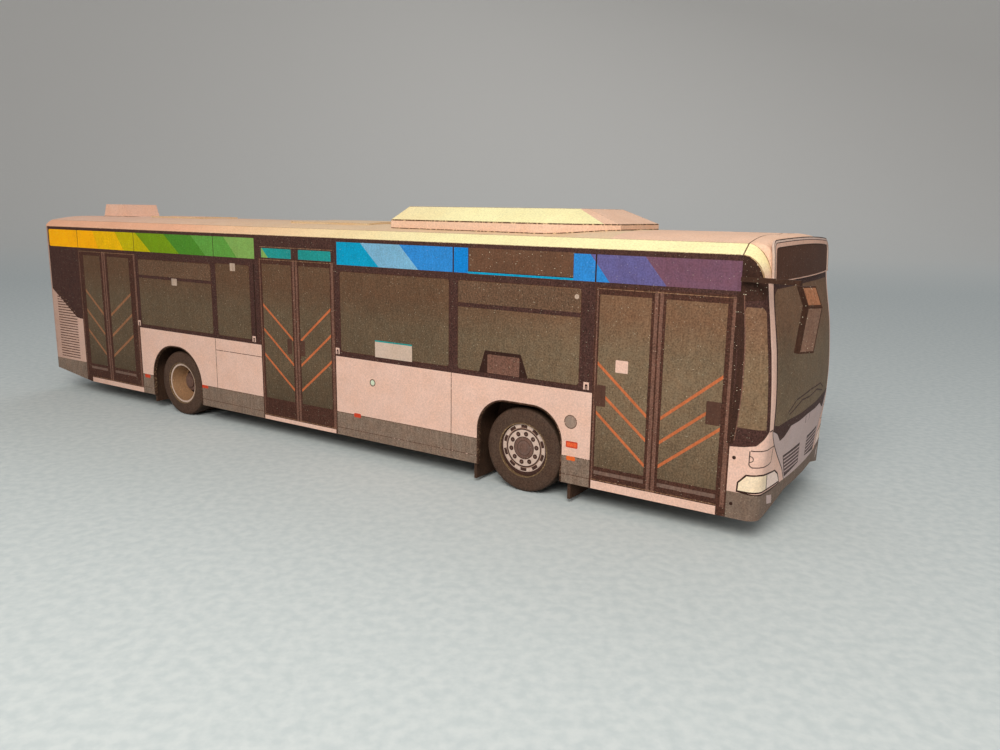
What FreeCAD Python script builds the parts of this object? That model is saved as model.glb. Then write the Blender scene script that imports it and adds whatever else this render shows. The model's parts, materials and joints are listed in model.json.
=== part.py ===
import FreeCAD, Part
import math
import os

from FreeCAD import Vector

os.makedirs("parts", exist_ok=True)

# A printed-card model of a three-door city bus, about 1:87.
# X points forward, Z up, the door side is at minus Y, and the wheels stand on z = 0.

# Card stock and general clearances
wall_card = 0.5
fold_card = 0.35
overrun = 1.0
glue_gap = 0.02
join_tolerance = 0.0002

# Overall sizes
body_width = 29.3
wheelbase = 68.0
rear_overhang = 38.3
front_overhang = 31.0
skirt_z = 2.7
wall_top_z = 31.0

# Where the flat sides end, measured forward from the front axle
side_front_x = 26.3
rear_corner_radius = 1.5

# Rise of the underside behind the rear axle
tail_rise = 1.4
tail_rise_start = 26.1

# Rise of the front bumper's lower edge between its corners, which the floor follows
bumper_rise = 1.7
bumper_foot_width = 1.35
bumper_slope_width = 7.0

# Floor
floor_z = 3.2

# Roof, with the crown's shoulder as shares of its half width and its height
coving_width = 1.8
coving_height = 1.15
crown_height = 0.85
crown_shoulder_share = 0.735
crown_shoulder_height_share = 0.66
crown_haunch_share = 0.87
crown_haunch_height_share = 0.37

# Front, its upright profile as pairs of shares of the wall's height and of the lean
nose_corner_x = 30.06
nose_lean = 1.65
nose_corner_radius = 1.4
nose_profile_shares = (
    (0.0, 0.31),
    (0.22, 0.19),
    (0.322, 0.03),
    (0.44, 0.0),
    (0.63, 0.19),
    (0.90, 0.85),
    (1.0, 0.95),
)
brow_drop_share = 0.55
mask_top_z = 11.8
lamp_corner_width = 6.75
pillar_width = 1.95
windscreen_top_z = 28.2

# Destination box over the windscreen, its top bent over a share of its width
display_margin = 2.5
display_bottom_z = 28.0
display_top_z = 32.3
display_top_rise = 0.45
display_top_bend_share = 0.6
display_radius = 1.2
display_frame = 0.6
display_gap = 0.05
display_proud = 0.3
display_recess = 0.12

# Roof pod, its outline measured forward from the front axle
pod_rear_x = -23.9
pod_hip_x = 3.0
pod_front_x = 8.45
pod_margin = 3.75
pod_hip_flare = 0.8
pod_nose_side_inset = 4.9
pod_band_height = 0.65
pod_cap_height = 1.85
pod_top_rear_inset = 1.4
pod_top_side_inset = 2.4
pod_top_front_inset = 4.95
pod_top_hip_inset = 2.4
pod_top_nose_side_inset = 0.8

# Small box at the rear of the roof
rear_box_inset = 2.8
rear_box_length = 7.1
rear_box_half_width = 4.0
rear_box_height = 3.05
rear_box_taper = 0.35

# Roof hatches, the rear one from the rear axle and the middle one from the front axle
hatch_card = 0.25
rear_hatch_x = -12.9
rear_hatch_length = 12.8
rear_hatch_half_width = 4.6
middle_hatch_x = -37.7
middle_hatch_length = 16.0
middle_hatch_margin = 5.65

# Wheel arches, the rear ones rounder than the front ones
front_arch_shift = -0.35
front_arch_half_width = 6.05
front_arch_top_z = 11.55
front_arch_flat = 1.95
rear_arch_shift = -0.4
rear_arch_half_width = 6.35
rear_arch_top_z = 11.7
rear_arch_flat = 0.6

# Liners of the wheel wells, whose legs end in flaps below the skirt
front_liner_shift = -0.15
front_liner_half_width = 6.75
rear_liner_shift = -0.2
rear_liner_half_width = 6.85
liner_flat = 2.5
liner_top_z = 12.2
liner_card = 0.4
front_flap_z = 0.5
rear_flap_z = 1.4
front_well_depth = 4.9
rear_well_depth = 8.3

# Axles and the rolled tubes that they turn in
axle_radius = 1.0
axle_clearance = 0.06
tube_wall = 0.4
tyre_radius = 5.5

# Wheels
wheel_inset = 0.65
tyre_width = 3.2
tyre_shoulder = 0.35
rim_radius = 3.4
rim_inset = 0.35
rim_back = 0.3
rim_lip = 0.25
hub_radius = 1.5
twin_tyre_width = 3.0
twin_gap = 0.6
spacer_radius = 2.9
dish_depth = 2.5
dish_hub_proud = 1.1
dish_card = 0.4
dish_bottom_radius = 2.1

# Mirrors, their reach taken beyond the front and the side of the body
mirror_ahead = 3.65
mirror_standoff = 2.55
mirror_turn = 58.0
mirror_width = 1.9
mirror_depth = 1.15
mirror_bottom_z = 21.8
mirror_split_z = 26.4
mirror_top_z = 28.35
wide_mirror_width = 1.8
wide_mirror_depth = 0.9
wide_mirror_lean = 1.5
arm_card = 0.45
arm_height = 0.5
arm_root_x = 26.9
arm_spread = 0.55
left_arm_root_x = 26.0
left_arm_z = 26.4
left_mirror_height = 4.6

# Sizes that follow from those above
half_width = body_width / 2
mirror_reach_x = front_overhang + mirror_ahead
mirror_reach_y = half_width + mirror_standoff
front_axle_x = (wheelbase + rear_overhang - mirror_reach_x) / 2
rear_axle_x = front_axle_x - wheelbase
rear_x = rear_axle_x - rear_overhang
side_rear_x = rear_x + rear_corner_radius
wall_height = wall_top_z - skirt_z
roof_edge_z = wall_top_z + coving_height
crown_z = roof_edge_z + crown_height
bumper_foot_half_width = half_width - bumper_foot_width
bumper_rise_half_width = bumper_foot_half_width - bumper_slope_width
mask_half_width = half_width - lamp_corner_width
windscreen_half_width = half_width - pillar_width
display_half_width = half_width - display_margin
pod_half_width = half_width - pod_margin
pod_front_half_width = pod_half_width - pod_nose_side_inset
pod_top_front_half_width = pod_front_half_width - pod_top_nose_side_inset
pod_band_top_z = crown_z + pod_band_height
pod_top_z = pod_band_top_z + pod_cap_height
rear_box_top_z = roof_edge_z + rear_box_height
middle_hatch_half_width = half_width - middle_hatch_margin
tube_radius = axle_radius + axle_clearance + tube_wall
nose_bow = front_overhang - nose_corner_x


def box(low, high):
    """A block between two opposite corners."""
    size = high - low
    return Part.makeBox(size.x, size.y, size.z, low)


def loop(points, place):
    """A closed wire round corners given as (a, b, radius), put in space by place(a, b)."""
    starts, middles, ends = [], [], []
    for index, (a, b, radius) in enumerate(points):
        corner = Vector(a, b, 0)
        before = points[index - 1]
        after = points[(index + 1) % len(points)]
        back = (Vector(before[0], before[1], 0) - corner).normalize()
        ahead = (Vector(after[0], after[1], 0) - corner).normalize()
        half_angle = back.getAngle(ahead) / 2
        reach = radius / math.tan(half_angle)
        inward = (back + ahead).normalize() if radius else Vector(0, 0, 0)
        starts.append(corner + back * reach)
        ends.append(corner + ahead * reach)
        middles.append(corner + inward * (radius / math.sin(half_angle) - radius))
    edges = []
    for index, (a, b, radius) in enumerate(points):
        start, middle, end = (
            place(spot.x, spot.y) for spot in (starts[index], middles[index], ends[index])
        )
        if radius:
            edges.append(Part.Arc(start, middle, end).toShape())
        following = starts[(index + 1) % len(points)]
        target = place(following.x, following.y)
        if not end.isEqual(target, join_tolerance):
            edges.append(Part.makeLine(end, target))
    return Part.Wire(edges)


def side_prism(points, y_from, y_to):
    """An outline in X and Z, drawn out across the bus."""
    wire = loop(points, lambda a, b: Vector(a, y_from, b))
    return Part.Face(wire).extrude(Vector(0, y_to - y_from, 0))


def plan_prism(points, z_from, z_to):
    """An outline in X and Y, drawn upward."""
    wire = loop(points, lambda a, b: Vector(a, b, z_from))
    return Part.Face(wire).extrude(Vector(0, 0, z_to - z_from))


def front_prism(points, x_from, x_to):
    """An outline in Y and Z, drawn along the bus."""
    wire = loop(points, lambda a, b: Vector(x_from, a, b))
    return Part.Face(wire).extrude(Vector(x_to - x_from, 0, 0))


def mirrored(shape):
    """The same piece on the other side of the bus."""
    return shape.mirror(Vector(0, 0, 0), Vector(0, 1, 0))


def turned(profile, axle_x):
    """A profile of (radius, y) points, turned about a wheel's axis."""
    points = [Vector(axle_x + radius, y, tyre_radius) for radius, y in profile]
    face = Part.Face(Part.makePolygon(points + points[:1]))
    return face.revolve(Vector(axle_x, 0, tyre_radius), Vector(0, 1, 0), 360)


def rod(axle_x, radius, y_from, y_to):
    """A cylinder on a wheel's axis."""
    foot = Vector(axle_x, y_from, tyre_radius)
    return Part.makeCylinder(radius, y_to - y_from, foot, Vector(0, 1, 0))


# Body shell

def arch_outline(middle, reach, top, radius, low):
    """An arch with upright legs, its shoulders rounded."""
    return (
        (middle - reach, low, 0),
        (middle - reach, top, radius),
        (middle + reach, top, radius),
        (middle + reach, low, 0),
    )


def arch_openings():
    """The front and the rear opening in the side."""
    low = skirt_z - overrun
    front = arch_outline(
        front_axle_x + front_arch_shift, front_arch_half_width, front_arch_top_z,
        front_arch_half_width - front_arch_flat, low,
    )
    rear = arch_outline(
        rear_axle_x + rear_arch_shift, rear_arch_half_width, rear_arch_top_z,
        rear_arch_half_width - rear_arch_flat, low,
    )
    return front, rear


def side_wall():
    """The flat door side, with its wheel arches and the rise behind the rear wheel."""
    rise_start = rear_axle_x - tail_rise_start
    outline = (
        (rise_start, skirt_z, 0),
        (front_axle_x + side_front_x, skirt_z, 0),
        (front_axle_x + side_front_x, wall_top_z, 0),
        (side_rear_x, wall_top_z, 0),
        (side_rear_x, skirt_z + tail_rise, 0),
    )
    wall = side_prism(outline, -half_width, wall_card - half_width)
    for opening in arch_openings():
        outside = -half_width - overrun
        inside = wall_card + overrun - half_width
        wall = wall.cut(side_prism(opening, outside, inside))
    return wall


def rear_block(inset, low, high):
    """The rear end as a solid, its upright corners rounded."""
    edge = half_width - inset
    radius = rear_corner_radius - inset
    ahead = side_rear_x + (overrun if inset else 0)
    outline = (
        (ahead, -edge, 0),
        (rear_x + inset, -edge, radius),
        (rear_x + inset, edge, radius),
        (ahead, edge, 0),
    )
    return plan_prism(outline, low, high)


def rear_wall():
    """The rear face with its two rounded corners, closed up to the roof."""
    low = skirt_z + tail_rise
    outer = rear_block(0, low, wall_top_z)
    wrap = outer.cut(rear_block(wall_card, low - overrun, wall_top_z + overrun))
    under_roof = roof_block(wall_card, rear_x, rear_x + wall_card)
    gable = under_roof.common(rear_block(wall_card - glue_gap, wall_top_z, crown_z))
    plate = box(
        Vector(rear_x, -half_width, wall_top_z), Vector(rear_x + wall_card, half_width, crown_z)
    )
    return wrap.fuse(gable.common(plate)).removeSplitter()


def nose_section(level, corner_x, inset):
    """One level of the front: flat sides, tight corners and a bowed face."""
    bow_radius = (half_width ** 2 + nose_bow ** 2) / (2 * nose_bow)
    bow_x = front_axle_x + corner_x + nose_bow - bow_radius
    corner_y = half_width - nose_corner_radius
    reach = bow_radius - nose_corner_radius
    corner_centre_x = bow_x + math.sqrt(reach ** 2 - corner_y ** 2)
    radius = nose_corner_radius - inset
    edge = half_width - inset
    front_x = bow_x + bow_radius - inset
    back_x = front_axle_x

    def corner(side):
        centre = Vector(corner_centre_x, side * corner_y, level)
        outward = (centre - Vector(bow_x, 0, level)).normalize()
        sideways = Vector(0, side, 0)
        along = (outward + sideways).normalize()
        return (
            Vector(corner_centre_x, side * edge, level),
            centre + along * radius,
            centre + outward * radius,
        )

    right = corner(-1)
    left = corner(1)
    back_right = Vector(back_x, -edge, level)
    back_left = Vector(back_x, edge, level)
    return Part.Face(Part.Wire([
        Part.makeLine(back_right, right[0]),
        Part.Arc(right[0], right[1], right[2]).toShape(),
        Part.Arc(right[2], Vector(front_x, 0, level), left[2]).toShape(),
        Part.Arc(left[2], left[1], left[0]).toShape(),
        Part.makeLine(left[0], back_left),
        Part.makeLine(back_left, back_right),
    ]))


def nose_block(inset):
    """The front as a solid, in leaning bands; an inner one runs past its ends."""
    levels = []
    for height_share, lean_share in nose_profile_shares:
        level = skirt_z + height_share * wall_height
        levels.append((level, nose_corner_x - lean_share * nose_lean))
    brow_x = levels[-1][1] - brow_drop_share * nose_lean
    if inset > 0:
        levels.insert(0, (skirt_z - overrun, levels[0][1]))
    levels.append((crown_z + overrun, brow_x))
    bands = []
    for (low, low_x), (high, high_x) in zip(levels, levels[1:]):
        lean = Vector(high_x - low_x, 0, high - low)
        bands.append(nose_section(low, low_x, inset).extrude(lean))
    joint = front_axle_x + side_front_x - (overrun if inset > 0 else 0)
    ahead = box(
        Vector(joint, -half_width - overrun, levels[0][0]),
        Vector(joint + front_overhang, half_width + overrun, levels[-1][0]),
    )
    return bands[0].multiFuse(bands[1:]).common(ahead)


def bumper_rise_prism():
    """What the bumper's raised lower edge leaves open between its corners."""
    low = skirt_z - overrun
    corners = (
        (-bumper_foot_half_width, low, 0), (-bumper_foot_half_width, skirt_z, 0),
        (-bumper_rise_half_width, skirt_z + bumper_rise, 0),
        (bumper_rise_half_width, skirt_z + bumper_rise, 0),
        (bumper_foot_half_width, skirt_z, 0), (bumper_foot_half_width, low, 0),
    )
    start = front_axle_x + side_front_x + nose_corner_radius
    return front_prism(corners, start, front_axle_x + front_overhang + overrun)


def nose_shell():
    """The front as one skin of card."""
    return nose_block(0).cut(nose_block(wall_card)).cut(bumper_rise_prism())


def nose_piece(shell, y_from, y_to, z_from, z_to):
    """The share of the front skin that lies between two heights and two widths."""
    low = Vector(front_axle_x + side_front_x, y_from, z_from)
    high = Vector(front_axle_x + front_overhang + overrun, y_to, z_to)
    return shell.common(box(low, high))


def crown_arc(at, inset, side):
    """The edges of half a crown, from the coving's top to the middle."""
    edge = half_width - coving_width
    rise = crown_height

    def spot(width_share, height_share):
        return at(side * edge * width_share, roof_edge_z - inset + rise * height_share)

    shoulder = spot(crown_shoulder_share, crown_shoulder_height_share)
    haunch = spot(crown_haunch_share, crown_haunch_height_share)
    return spot(1, 0), haunch, shoulder


def roof_block(inset, x_from, x_to):
    """The roof as a solid: sloped covings under a crown that is flattest in the middle."""
    edge = half_width - inset

    def at(y, z):
        return Vector(x_from, y, z)

    right = crown_arc(at, inset, -1)
    left = crown_arc(at, inset, 1)
    edges = [
        Part.makeLine(at(-edge, wall_top_z), right[0]),
        Part.Arc(right[0], right[1], right[2]).toShape(),
        Part.Arc(right[2], at(0, crown_z - inset), left[2]).toShape(),
        Part.Arc(left[2], left[1], left[0]).toShape(),
        Part.makeLine(left[0], at(edge, wall_top_z)),
    ]
    if inset > 0:
        low = wall_top_z - overrun
        edges.append(Part.makeLine(at(edge, wall_top_z), at(edge, low)))
        edges.append(Part.makeLine(at(edge, low), at(-edge, low)))
        edges.append(Part.makeLine(at(-edge, low), at(-edge, wall_top_z)))
    else:
        edges.append(Part.makeLine(at(edge, wall_top_z), at(-edge, wall_top_z)))
    return Part.Face(Part.Wire(edges)).extrude(Vector(x_to - x_from, 0, 0))


def roof_skin():
    """The roof from the rear face to the front joint."""
    joint = front_axle_x + side_front_x
    high = crown_z + overrun
    straight = box(Vector(side_rear_x, -half_width, wall_top_z), Vector(joint, half_width, high))
    plan = rear_block(0, wall_top_z, high).fuse(straight)
    outer = roof_block(0, rear_x, joint).common(plan)
    return outer.cut(roof_block(wall_card, rear_x - overrun, joint + overrun))


def front_dome():
    """The front of the roof, down to the head of the windscreen and open over the corners."""
    joint = front_axle_x + side_front_x
    end = front_axle_x + front_overhang + overrun
    under = box(
        Vector(joint, -half_width, windscreen_top_z), Vector(end, half_width, wall_top_z)
    )
    outer = nose_block(0).common(roof_block(0, joint, end).fuse(under))
    hollow = roof_block(wall_card, joint - overrun, end).fuse(
        box(
            Vector(joint - overrun, wall_card - half_width, windscreen_top_z - overrun),
            Vector(end, half_width - wall_card, wall_top_z),
        )
    )
    return outer.cut(nose_block(wall_card).common(hollow))


def floor_panel():
    """The floor between the walls, open over the wheels and rising at the tail and the nose."""
    edge = half_width - wall_card - glue_gap
    rise_start = rear_axle_x - tail_rise_start
    back = rear_x + wall_card
    joint = front_axle_x + side_front_x
    front = front_axle_x + front_overhang
    lift = tail_rise * (rise_start - back) / (rise_start - side_rear_x)
    nose_lift = skirt_z + bumper_rise - floor_z
    outline = (
        (rise_start, floor_z, 0),
        (joint, floor_z, 0),
        (front, floor_z + nose_lift, 0),
        (front, floor_z + wall_card + nose_lift, 0),
        (joint, floor_z + wall_card, 0),
        (rise_start, floor_z + wall_card, 0),
        (back, floor_z + wall_card + lift, 0),
        (back, floor_z + lift, 0),
    )
    panel = side_prism(outline, -edge, edge)
    for middle, half, depth in (
        (front_axle_x + front_liner_shift, front_liner_half_width, front_well_depth),
        (rear_axle_x + rear_liner_shift, rear_liner_half_width, rear_well_depth),
    ):
        reach = half + liner_card + glue_gap
        for side in (-1, 1):
            outer_y = side * half_width
            inner_y = side * (edge - depth - liner_card)
            low = Vector(middle - reach, min(outer_y, inner_y), floor_z - overrun)
            high = Vector(middle + reach, max(outer_y, inner_y), floor_z + tail_rise)
            panel = panel.cut(box(low, high))
    ahead = box(
        Vector(joint, -half_width, skirt_z),
        Vector(front + overrun, half_width, floor_z + wall_card + nose_lift + overrun),
    )
    rear = box(
        Vector(rear_x - overrun, -half_width, skirt_z),
        Vector(side_rear_x, half_width, floor_z + wall_card + lift + overrun),
    )
    middle = panel.cut(ahead).cut(rear)
    nose = panel.common(ahead).common(nose_block(wall_card + glue_gap))
    tail = panel.common(rear).common(rear_block(wall_card + glue_gap, skirt_z, wall_top_z))
    return middle.fuse(nose).fuse(tail).removeSplitter()


# Wheel wells

def liner_outline(middle, half, grow, low):
    """A well's band: upright legs under rounded shoulders."""
    return arch_outline(
        middle, half + grow, liner_top_z + grow, half - liner_flat + grow, low
    )


def arch_liner(axle_x, middle, half, depth, flap_z, ahead_z):
    """The well of a wheel on the door side, its legs ending at flap_z and, ahead, at ahead_z."""
    outer_y = wall_card - half_width
    inner_y = outer_y + depth
    band = side_prism(liner_outline(middle, half, liner_card, flap_z), outer_y, inner_y + liner_card)
    hollow = side_prism(liner_outline(middle, half, 0, flap_z - overrun), outer_y - overrun, inner_y)
    liner = band.cut(hollow)
    reach = half + liner_card + overrun
    below = box(
        Vector(middle - reach, inner_y, flap_z - overrun),
        Vector(middle + reach, inner_y + liner_card + overrun, floor_z),
    )
    if ahead_z > flap_z:
        below = below.fuse(box(
            Vector(middle, outer_y - overrun, flap_z - overrun),
            Vector(middle + reach, inner_y + overrun, ahead_z),
        ))
    seat = rod(axle_x, tube_radius + glue_gap, inner_y - overrun, inner_y + liner_card + overrun)
    return liner.cut(below).cut(seat)


def axle_tube(axle_x, depth):
    """The rolled tube that an axle turns in, held by the two wells."""
    end = half_width - wall_card - depth
    bore = rod(axle_x, axle_radius + axle_clearance, -end - overrun, end + overrun)
    return rod(axle_x, tube_radius, -end, end).cut(bore)


# Roof fittings

def pod_outline(side_inset, rear_inset, hip_inset, front_inset, front_half, flare):
    """The pod seen from above, widest at its hips and narrowing toward the front."""
    rear = front_axle_x + pod_rear_x + rear_inset
    hip = front_axle_x + pod_hip_x - hip_inset
    front = front_axle_x + pod_front_x - front_inset
    edge = pod_half_width - side_inset
    return (
        (rear, -edge), (hip, -edge - flare), (front, -front_half),
        (front, front_half), (hip, edge + flare), (rear, edge),
    )


def polygon_at(points, level):
    """A closed flat outline at one height."""
    corners = [Vector(x, y, level) for x, y in points]
    return Part.makePolygon(corners + corners[:1])


def pod_base(inset):
    """The pod's foot outline, moved inward by a card's thickness."""
    front_half = pod_front_half_width - inset / 2
    return pod_outline(inset, inset, inset / 2, inset, front_half, pod_hip_flare)


def pod_band():
    """The upright band that stands on the crown of the roof."""
    low = roof_edge_z - overrun
    outer = Part.Face(polygon_at(pod_base(0), low)).extrude(Vector(0, 0, pod_band_top_z - low))
    inner = Part.Face(polygon_at(pod_base(wall_card), low)).extrude(
        Vector(0, 0, pod_band_top_z - low + overrun)
    )
    return outer.cut(inner).cut(roof_block(0, rear_x, front_axle_x + side_front_x))


def folded_solid(foot, head):
    """A solid between two outlines, each side laid out as flat triangles."""
    faces = [Part.Face(Part.makePolygon(foot + foot[:1]))]
    faces.append(Part.Face(Part.makePolygon(head + head[:1])))
    for index, low_near in enumerate(foot):
        following = (index + 1) % len(foot)
        low_far = foot[following]
        high_far = head[following]
        high_near = head[index]
        faces.append(Part.Face(Part.makePolygon([low_near, low_far, high_far, low_near])))
        faces.append(Part.Face(Part.makePolygon([low_near, high_far, high_near, low_near])))
    return Part.Solid(Part.Shell(faces)).removeSplitter()


def pod_cap():
    """The hipped lid of the pod, folded from one sheet."""
    def lid(inset, low, high):
        foot = [Vector(x, y, low) for x, y in pod_base(inset)]
        top = pod_outline(
            pod_top_side_inset + inset,
            pod_top_rear_inset + inset,
            pod_top_hip_inset + inset / 2,
            pod_top_front_inset + inset,
            pod_top_front_half_width - inset / 2,
            0,
        )
        return folded_solid(foot, [Vector(x, y, high) for x, y in top])

    outer = lid(0, pod_band_top_z, pod_top_z)
    inner = lid(wall_card, pod_band_top_z, pod_top_z - fold_card)
    return outer.cut(inner)


def rear_roof_box():
    """The small tapered box behind the last door."""
    rear = rear_x + rear_box_inset

    def outline(inset):
        front = rear + rear_box_length
        edge = rear_box_half_width - inset
        return (
            (rear + inset, -edge), (front - inset, -edge), (front - inset, edge), (rear + inset, edge),
        )

    foot = [Vector(x, y, roof_edge_z) for x, y in outline(0)]
    head = [Vector(x, y, rear_box_top_z) for x, y in outline(rear_box_taper)]
    return folded_solid(foot, head).cut(roof_block(0, rear_x, front_axle_x + side_front_x))


def roof_hatch(centre_x, length, edge):
    """A thin lid bent over the crown of the roof."""
    start = centre_x - length / 2
    lid = roof_block(-hatch_card, start, start + length)
    middle = box(
        Vector(start - overrun, -edge, wall_top_z),
        Vector(start + length + overrun, edge, crown_z + overrun),
    )
    return lid.cut(roof_block(0, start - overrun, start + length + overrun)).common(middle)


def display_prism(inset):
    """The upright outline of the destination box, drawn along the bus and open below."""
    edge = display_half_width - inset
    low = display_bottom_z - (overrun if inset else 0)
    high = display_top_z - inset
    top_radius = display_top_bend_share * edge ** 2 / display_top_rise
    corners = (
        (-edge, low, 0),
        (edge, low, 0),
        (edge, high, display_radius),
        (0, high + display_top_rise, top_radius),
        (-edge, high, display_radius),
    )
    start = front_axle_x + side_front_x
    return front_prism(corners, start, start + front_overhang)


def display_frame_ring():
    """The raised frame over and beside the destination panel."""
    plate = nose_block(-display_proud).cut(nose_block(-display_gap))
    return plate.common(display_prism(0)).cut(display_prism(display_frame))


def display_panel():
    """The blank panel, set back inside its frame."""
    plate = nose_block(display_recess - display_proud).cut(nose_block(-display_gap))
    return plate.common(display_prism(display_frame)).common(display_prism(0))


# Mirrors

def turned_about(shape, centre, degrees):
    """A piece turned about an upright line."""
    moved = shape.copy()
    moved.rotate(centre, Vector(0, 0, 1), degrees)
    return moved


def mirror_head(centre_x, centre_y, width, depth, low, high, degrees):
    """A mirror's case, folded from card into a box."""
    block = box(
        Vector(centre_x - width / 2, centre_y - depth / 2, low),
        Vector(centre_x + width / 2, centre_y + depth / 2, high),
    )
    return turned_about(block, Vector(centre_x, centre_y, 0), degrees)


def mirror_reaches():
    """How far a turned head reaches from its middle, forward and sideways."""
    angle = math.radians(mirror_turn)
    forward = (mirror_width * math.cos(angle) + mirror_depth * math.sin(angle)) / 2
    sideways = (mirror_width * math.sin(angle) + mirror_depth * math.cos(angle)) / 2
    return forward, sideways


def right_mirror_centre():
    """The middle of the door-side mirror heads."""
    forward, sideways = mirror_reaches()
    return front_axle_x + mirror_reach_x - forward, sideways - mirror_reach_y


def arm_strip(root_x, root_y, tip_x, tip_y, low):
    """A flat strip that runs from the body's corner to a mirror."""
    along = Vector(tip_x - root_x, tip_y - root_y, 0)
    length = along.Length
    strip = box(Vector(0, -arm_card / 2, low), Vector(length, arm_card / 2, low + arm_height))
    strip.rotate(Vector(0, 0, 0), Vector(0, 0, 1), math.degrees(math.atan2(along.y, along.x)))
    strip.translate(Vector(root_x, root_y, 0))
    return strip


def right_arm():
    """The arm over the door-side mirrors, glued to the front corner."""
    centre_x, centre_y = right_mirror_centre()
    root_x = front_axle_x + arm_root_x
    elbow_y = -half_width - arm_spread
    tip_x = centre_x + arm_card - wide_mirror_lean
    strip = arm_strip(root_x, elbow_y, tip_x, centre_y, mirror_top_z)
    foot = box(
        Vector(root_x - arm_card, elbow_y - arm_card / 2, mirror_top_z),
        Vector(root_x + arm_card, -half_width, mirror_top_z + arm_height),
    )
    return strip.fuse(foot).removeSplitter()


def right_mirror():
    """The main mirror of the door side."""
    centre_x, centre_y = right_mirror_centre()
    return mirror_head(
        centre_x, centre_y, mirror_width, mirror_depth, mirror_bottom_z, mirror_split_z, mirror_turn
    )


def right_wide_mirror():
    """The small wide-angle mirror above it, leaning back to the arm's tip."""
    centre_x, centre_y = right_mirror_centre()
    angle = math.radians(mirror_turn)
    across = Vector(math.cos(angle), math.sin(angle), 0) * (wide_mirror_width / 2)
    through = Vector(-math.sin(angle), math.cos(angle), 0) * (wide_mirror_depth / 2)
    middle = Vector(centre_x, centre_y, mirror_split_z)
    foot = [middle - across - through, middle + across - through,
            middle + across + through, middle - across + through]
    lean = Vector(-wide_mirror_lean, 0, mirror_top_z - mirror_split_z)
    return folded_solid(foot, [corner + lean for corner in foot])


def left_mirror_centre():
    """The middle of the driver-side mirror."""
    sideways = mirror_reaches()[1]
    return front_axle_x + left_arm_root_x, mirror_reach_y - sideways


def left_arm():
    """The short arm on the driver's side."""
    centre_x, centre_y = left_mirror_centre()
    low = Vector(centre_x - arm_card, half_width, left_arm_z)
    high = Vector(centre_x + arm_card, centre_y + arm_card, left_arm_z + arm_height)
    return box(low, high)


def left_mirror():
    """The mirror of the driver's side, hung under its arm."""
    centre_x, centre_y = left_mirror_centre()
    low = left_arm_z - left_mirror_height
    return mirror_head(
        centre_x, centre_y, mirror_width, mirror_depth, low, left_arm_z, -mirror_turn
    )


# Wheelsets

def tyre(axle_x, outer_y, width, bore):
    """A ring with an eased outer shoulder, from its outer face inward."""
    inner_y = outer_y + width
    step = tyre_shoulder
    return turned(
        (
            (bore, outer_y),
            (tyre_radius - step, outer_y),
            (tyre_radius, outer_y + step),
            (tyre_radius, inner_y),
            (bore, inner_y),
        ),
        axle_x,
    )


def front_rim(axle_x, outer_y):
    """The flat disc that fills a front tyre."""
    face_y = outer_y + rim_inset
    back_y = outer_y + tyre_width - rim_back
    bore_y = back_y - (back_y - face_y) / 2
    bore = axle_radius + glue_gap
    edge = rim_radius - glue_gap
    return turned(
        (
            (0, face_y),
            (edge, face_y),
            (edge, back_y),
            (bore, back_y),
            (bore, bore_y),
            (0, bore_y),
        ),
        axle_x,
    )


def rear_dish(axle_x, outer_y):
    """The deep dished centre of a twin wheel, with its hub."""
    edge = rim_radius - glue_gap
    bottom_y = outer_y + dish_depth
    bore = axle_radius + glue_gap
    return turned(
        (
            (0, bottom_y - dish_hub_proud),
            (hub_radius, bottom_y - dish_hub_proud),
            (hub_radius, bottom_y),
            (dish_bottom_radius, bottom_y),
            (edge - dish_card, outer_y + rim_lip),
            (edge, outer_y + rim_lip),
            (edge, bottom_y + dish_card),
            (bore, bottom_y + dish_card),
            (bore, bottom_y),
            (0, bottom_y),
        ),
        axle_x,
    )


def inner_twin(axle_x, outer_y):
    """The inner tyre of a pair, with the spacer that parts it from the outer one."""
    start = outer_y + twin_tyre_width + twin_gap
    end = start + twin_tyre_width
    back_of_dish = outer_y + dish_depth + dish_card + glue_gap
    return turned(
        (
            (axle_radius + glue_gap, back_of_dish),
            (spacer_radius, back_of_dish),
            (spacer_radius, start),
            (tyre_radius, start),
            (tyre_radius, end),
            (axle_radius + glue_gap, end),
        ),
        axle_x,
    )


def axle(axle_x, end_y):
    """The round stick between a pair of wheels."""
    return rod(axle_x, axle_radius, -end_y, end_y)


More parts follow.
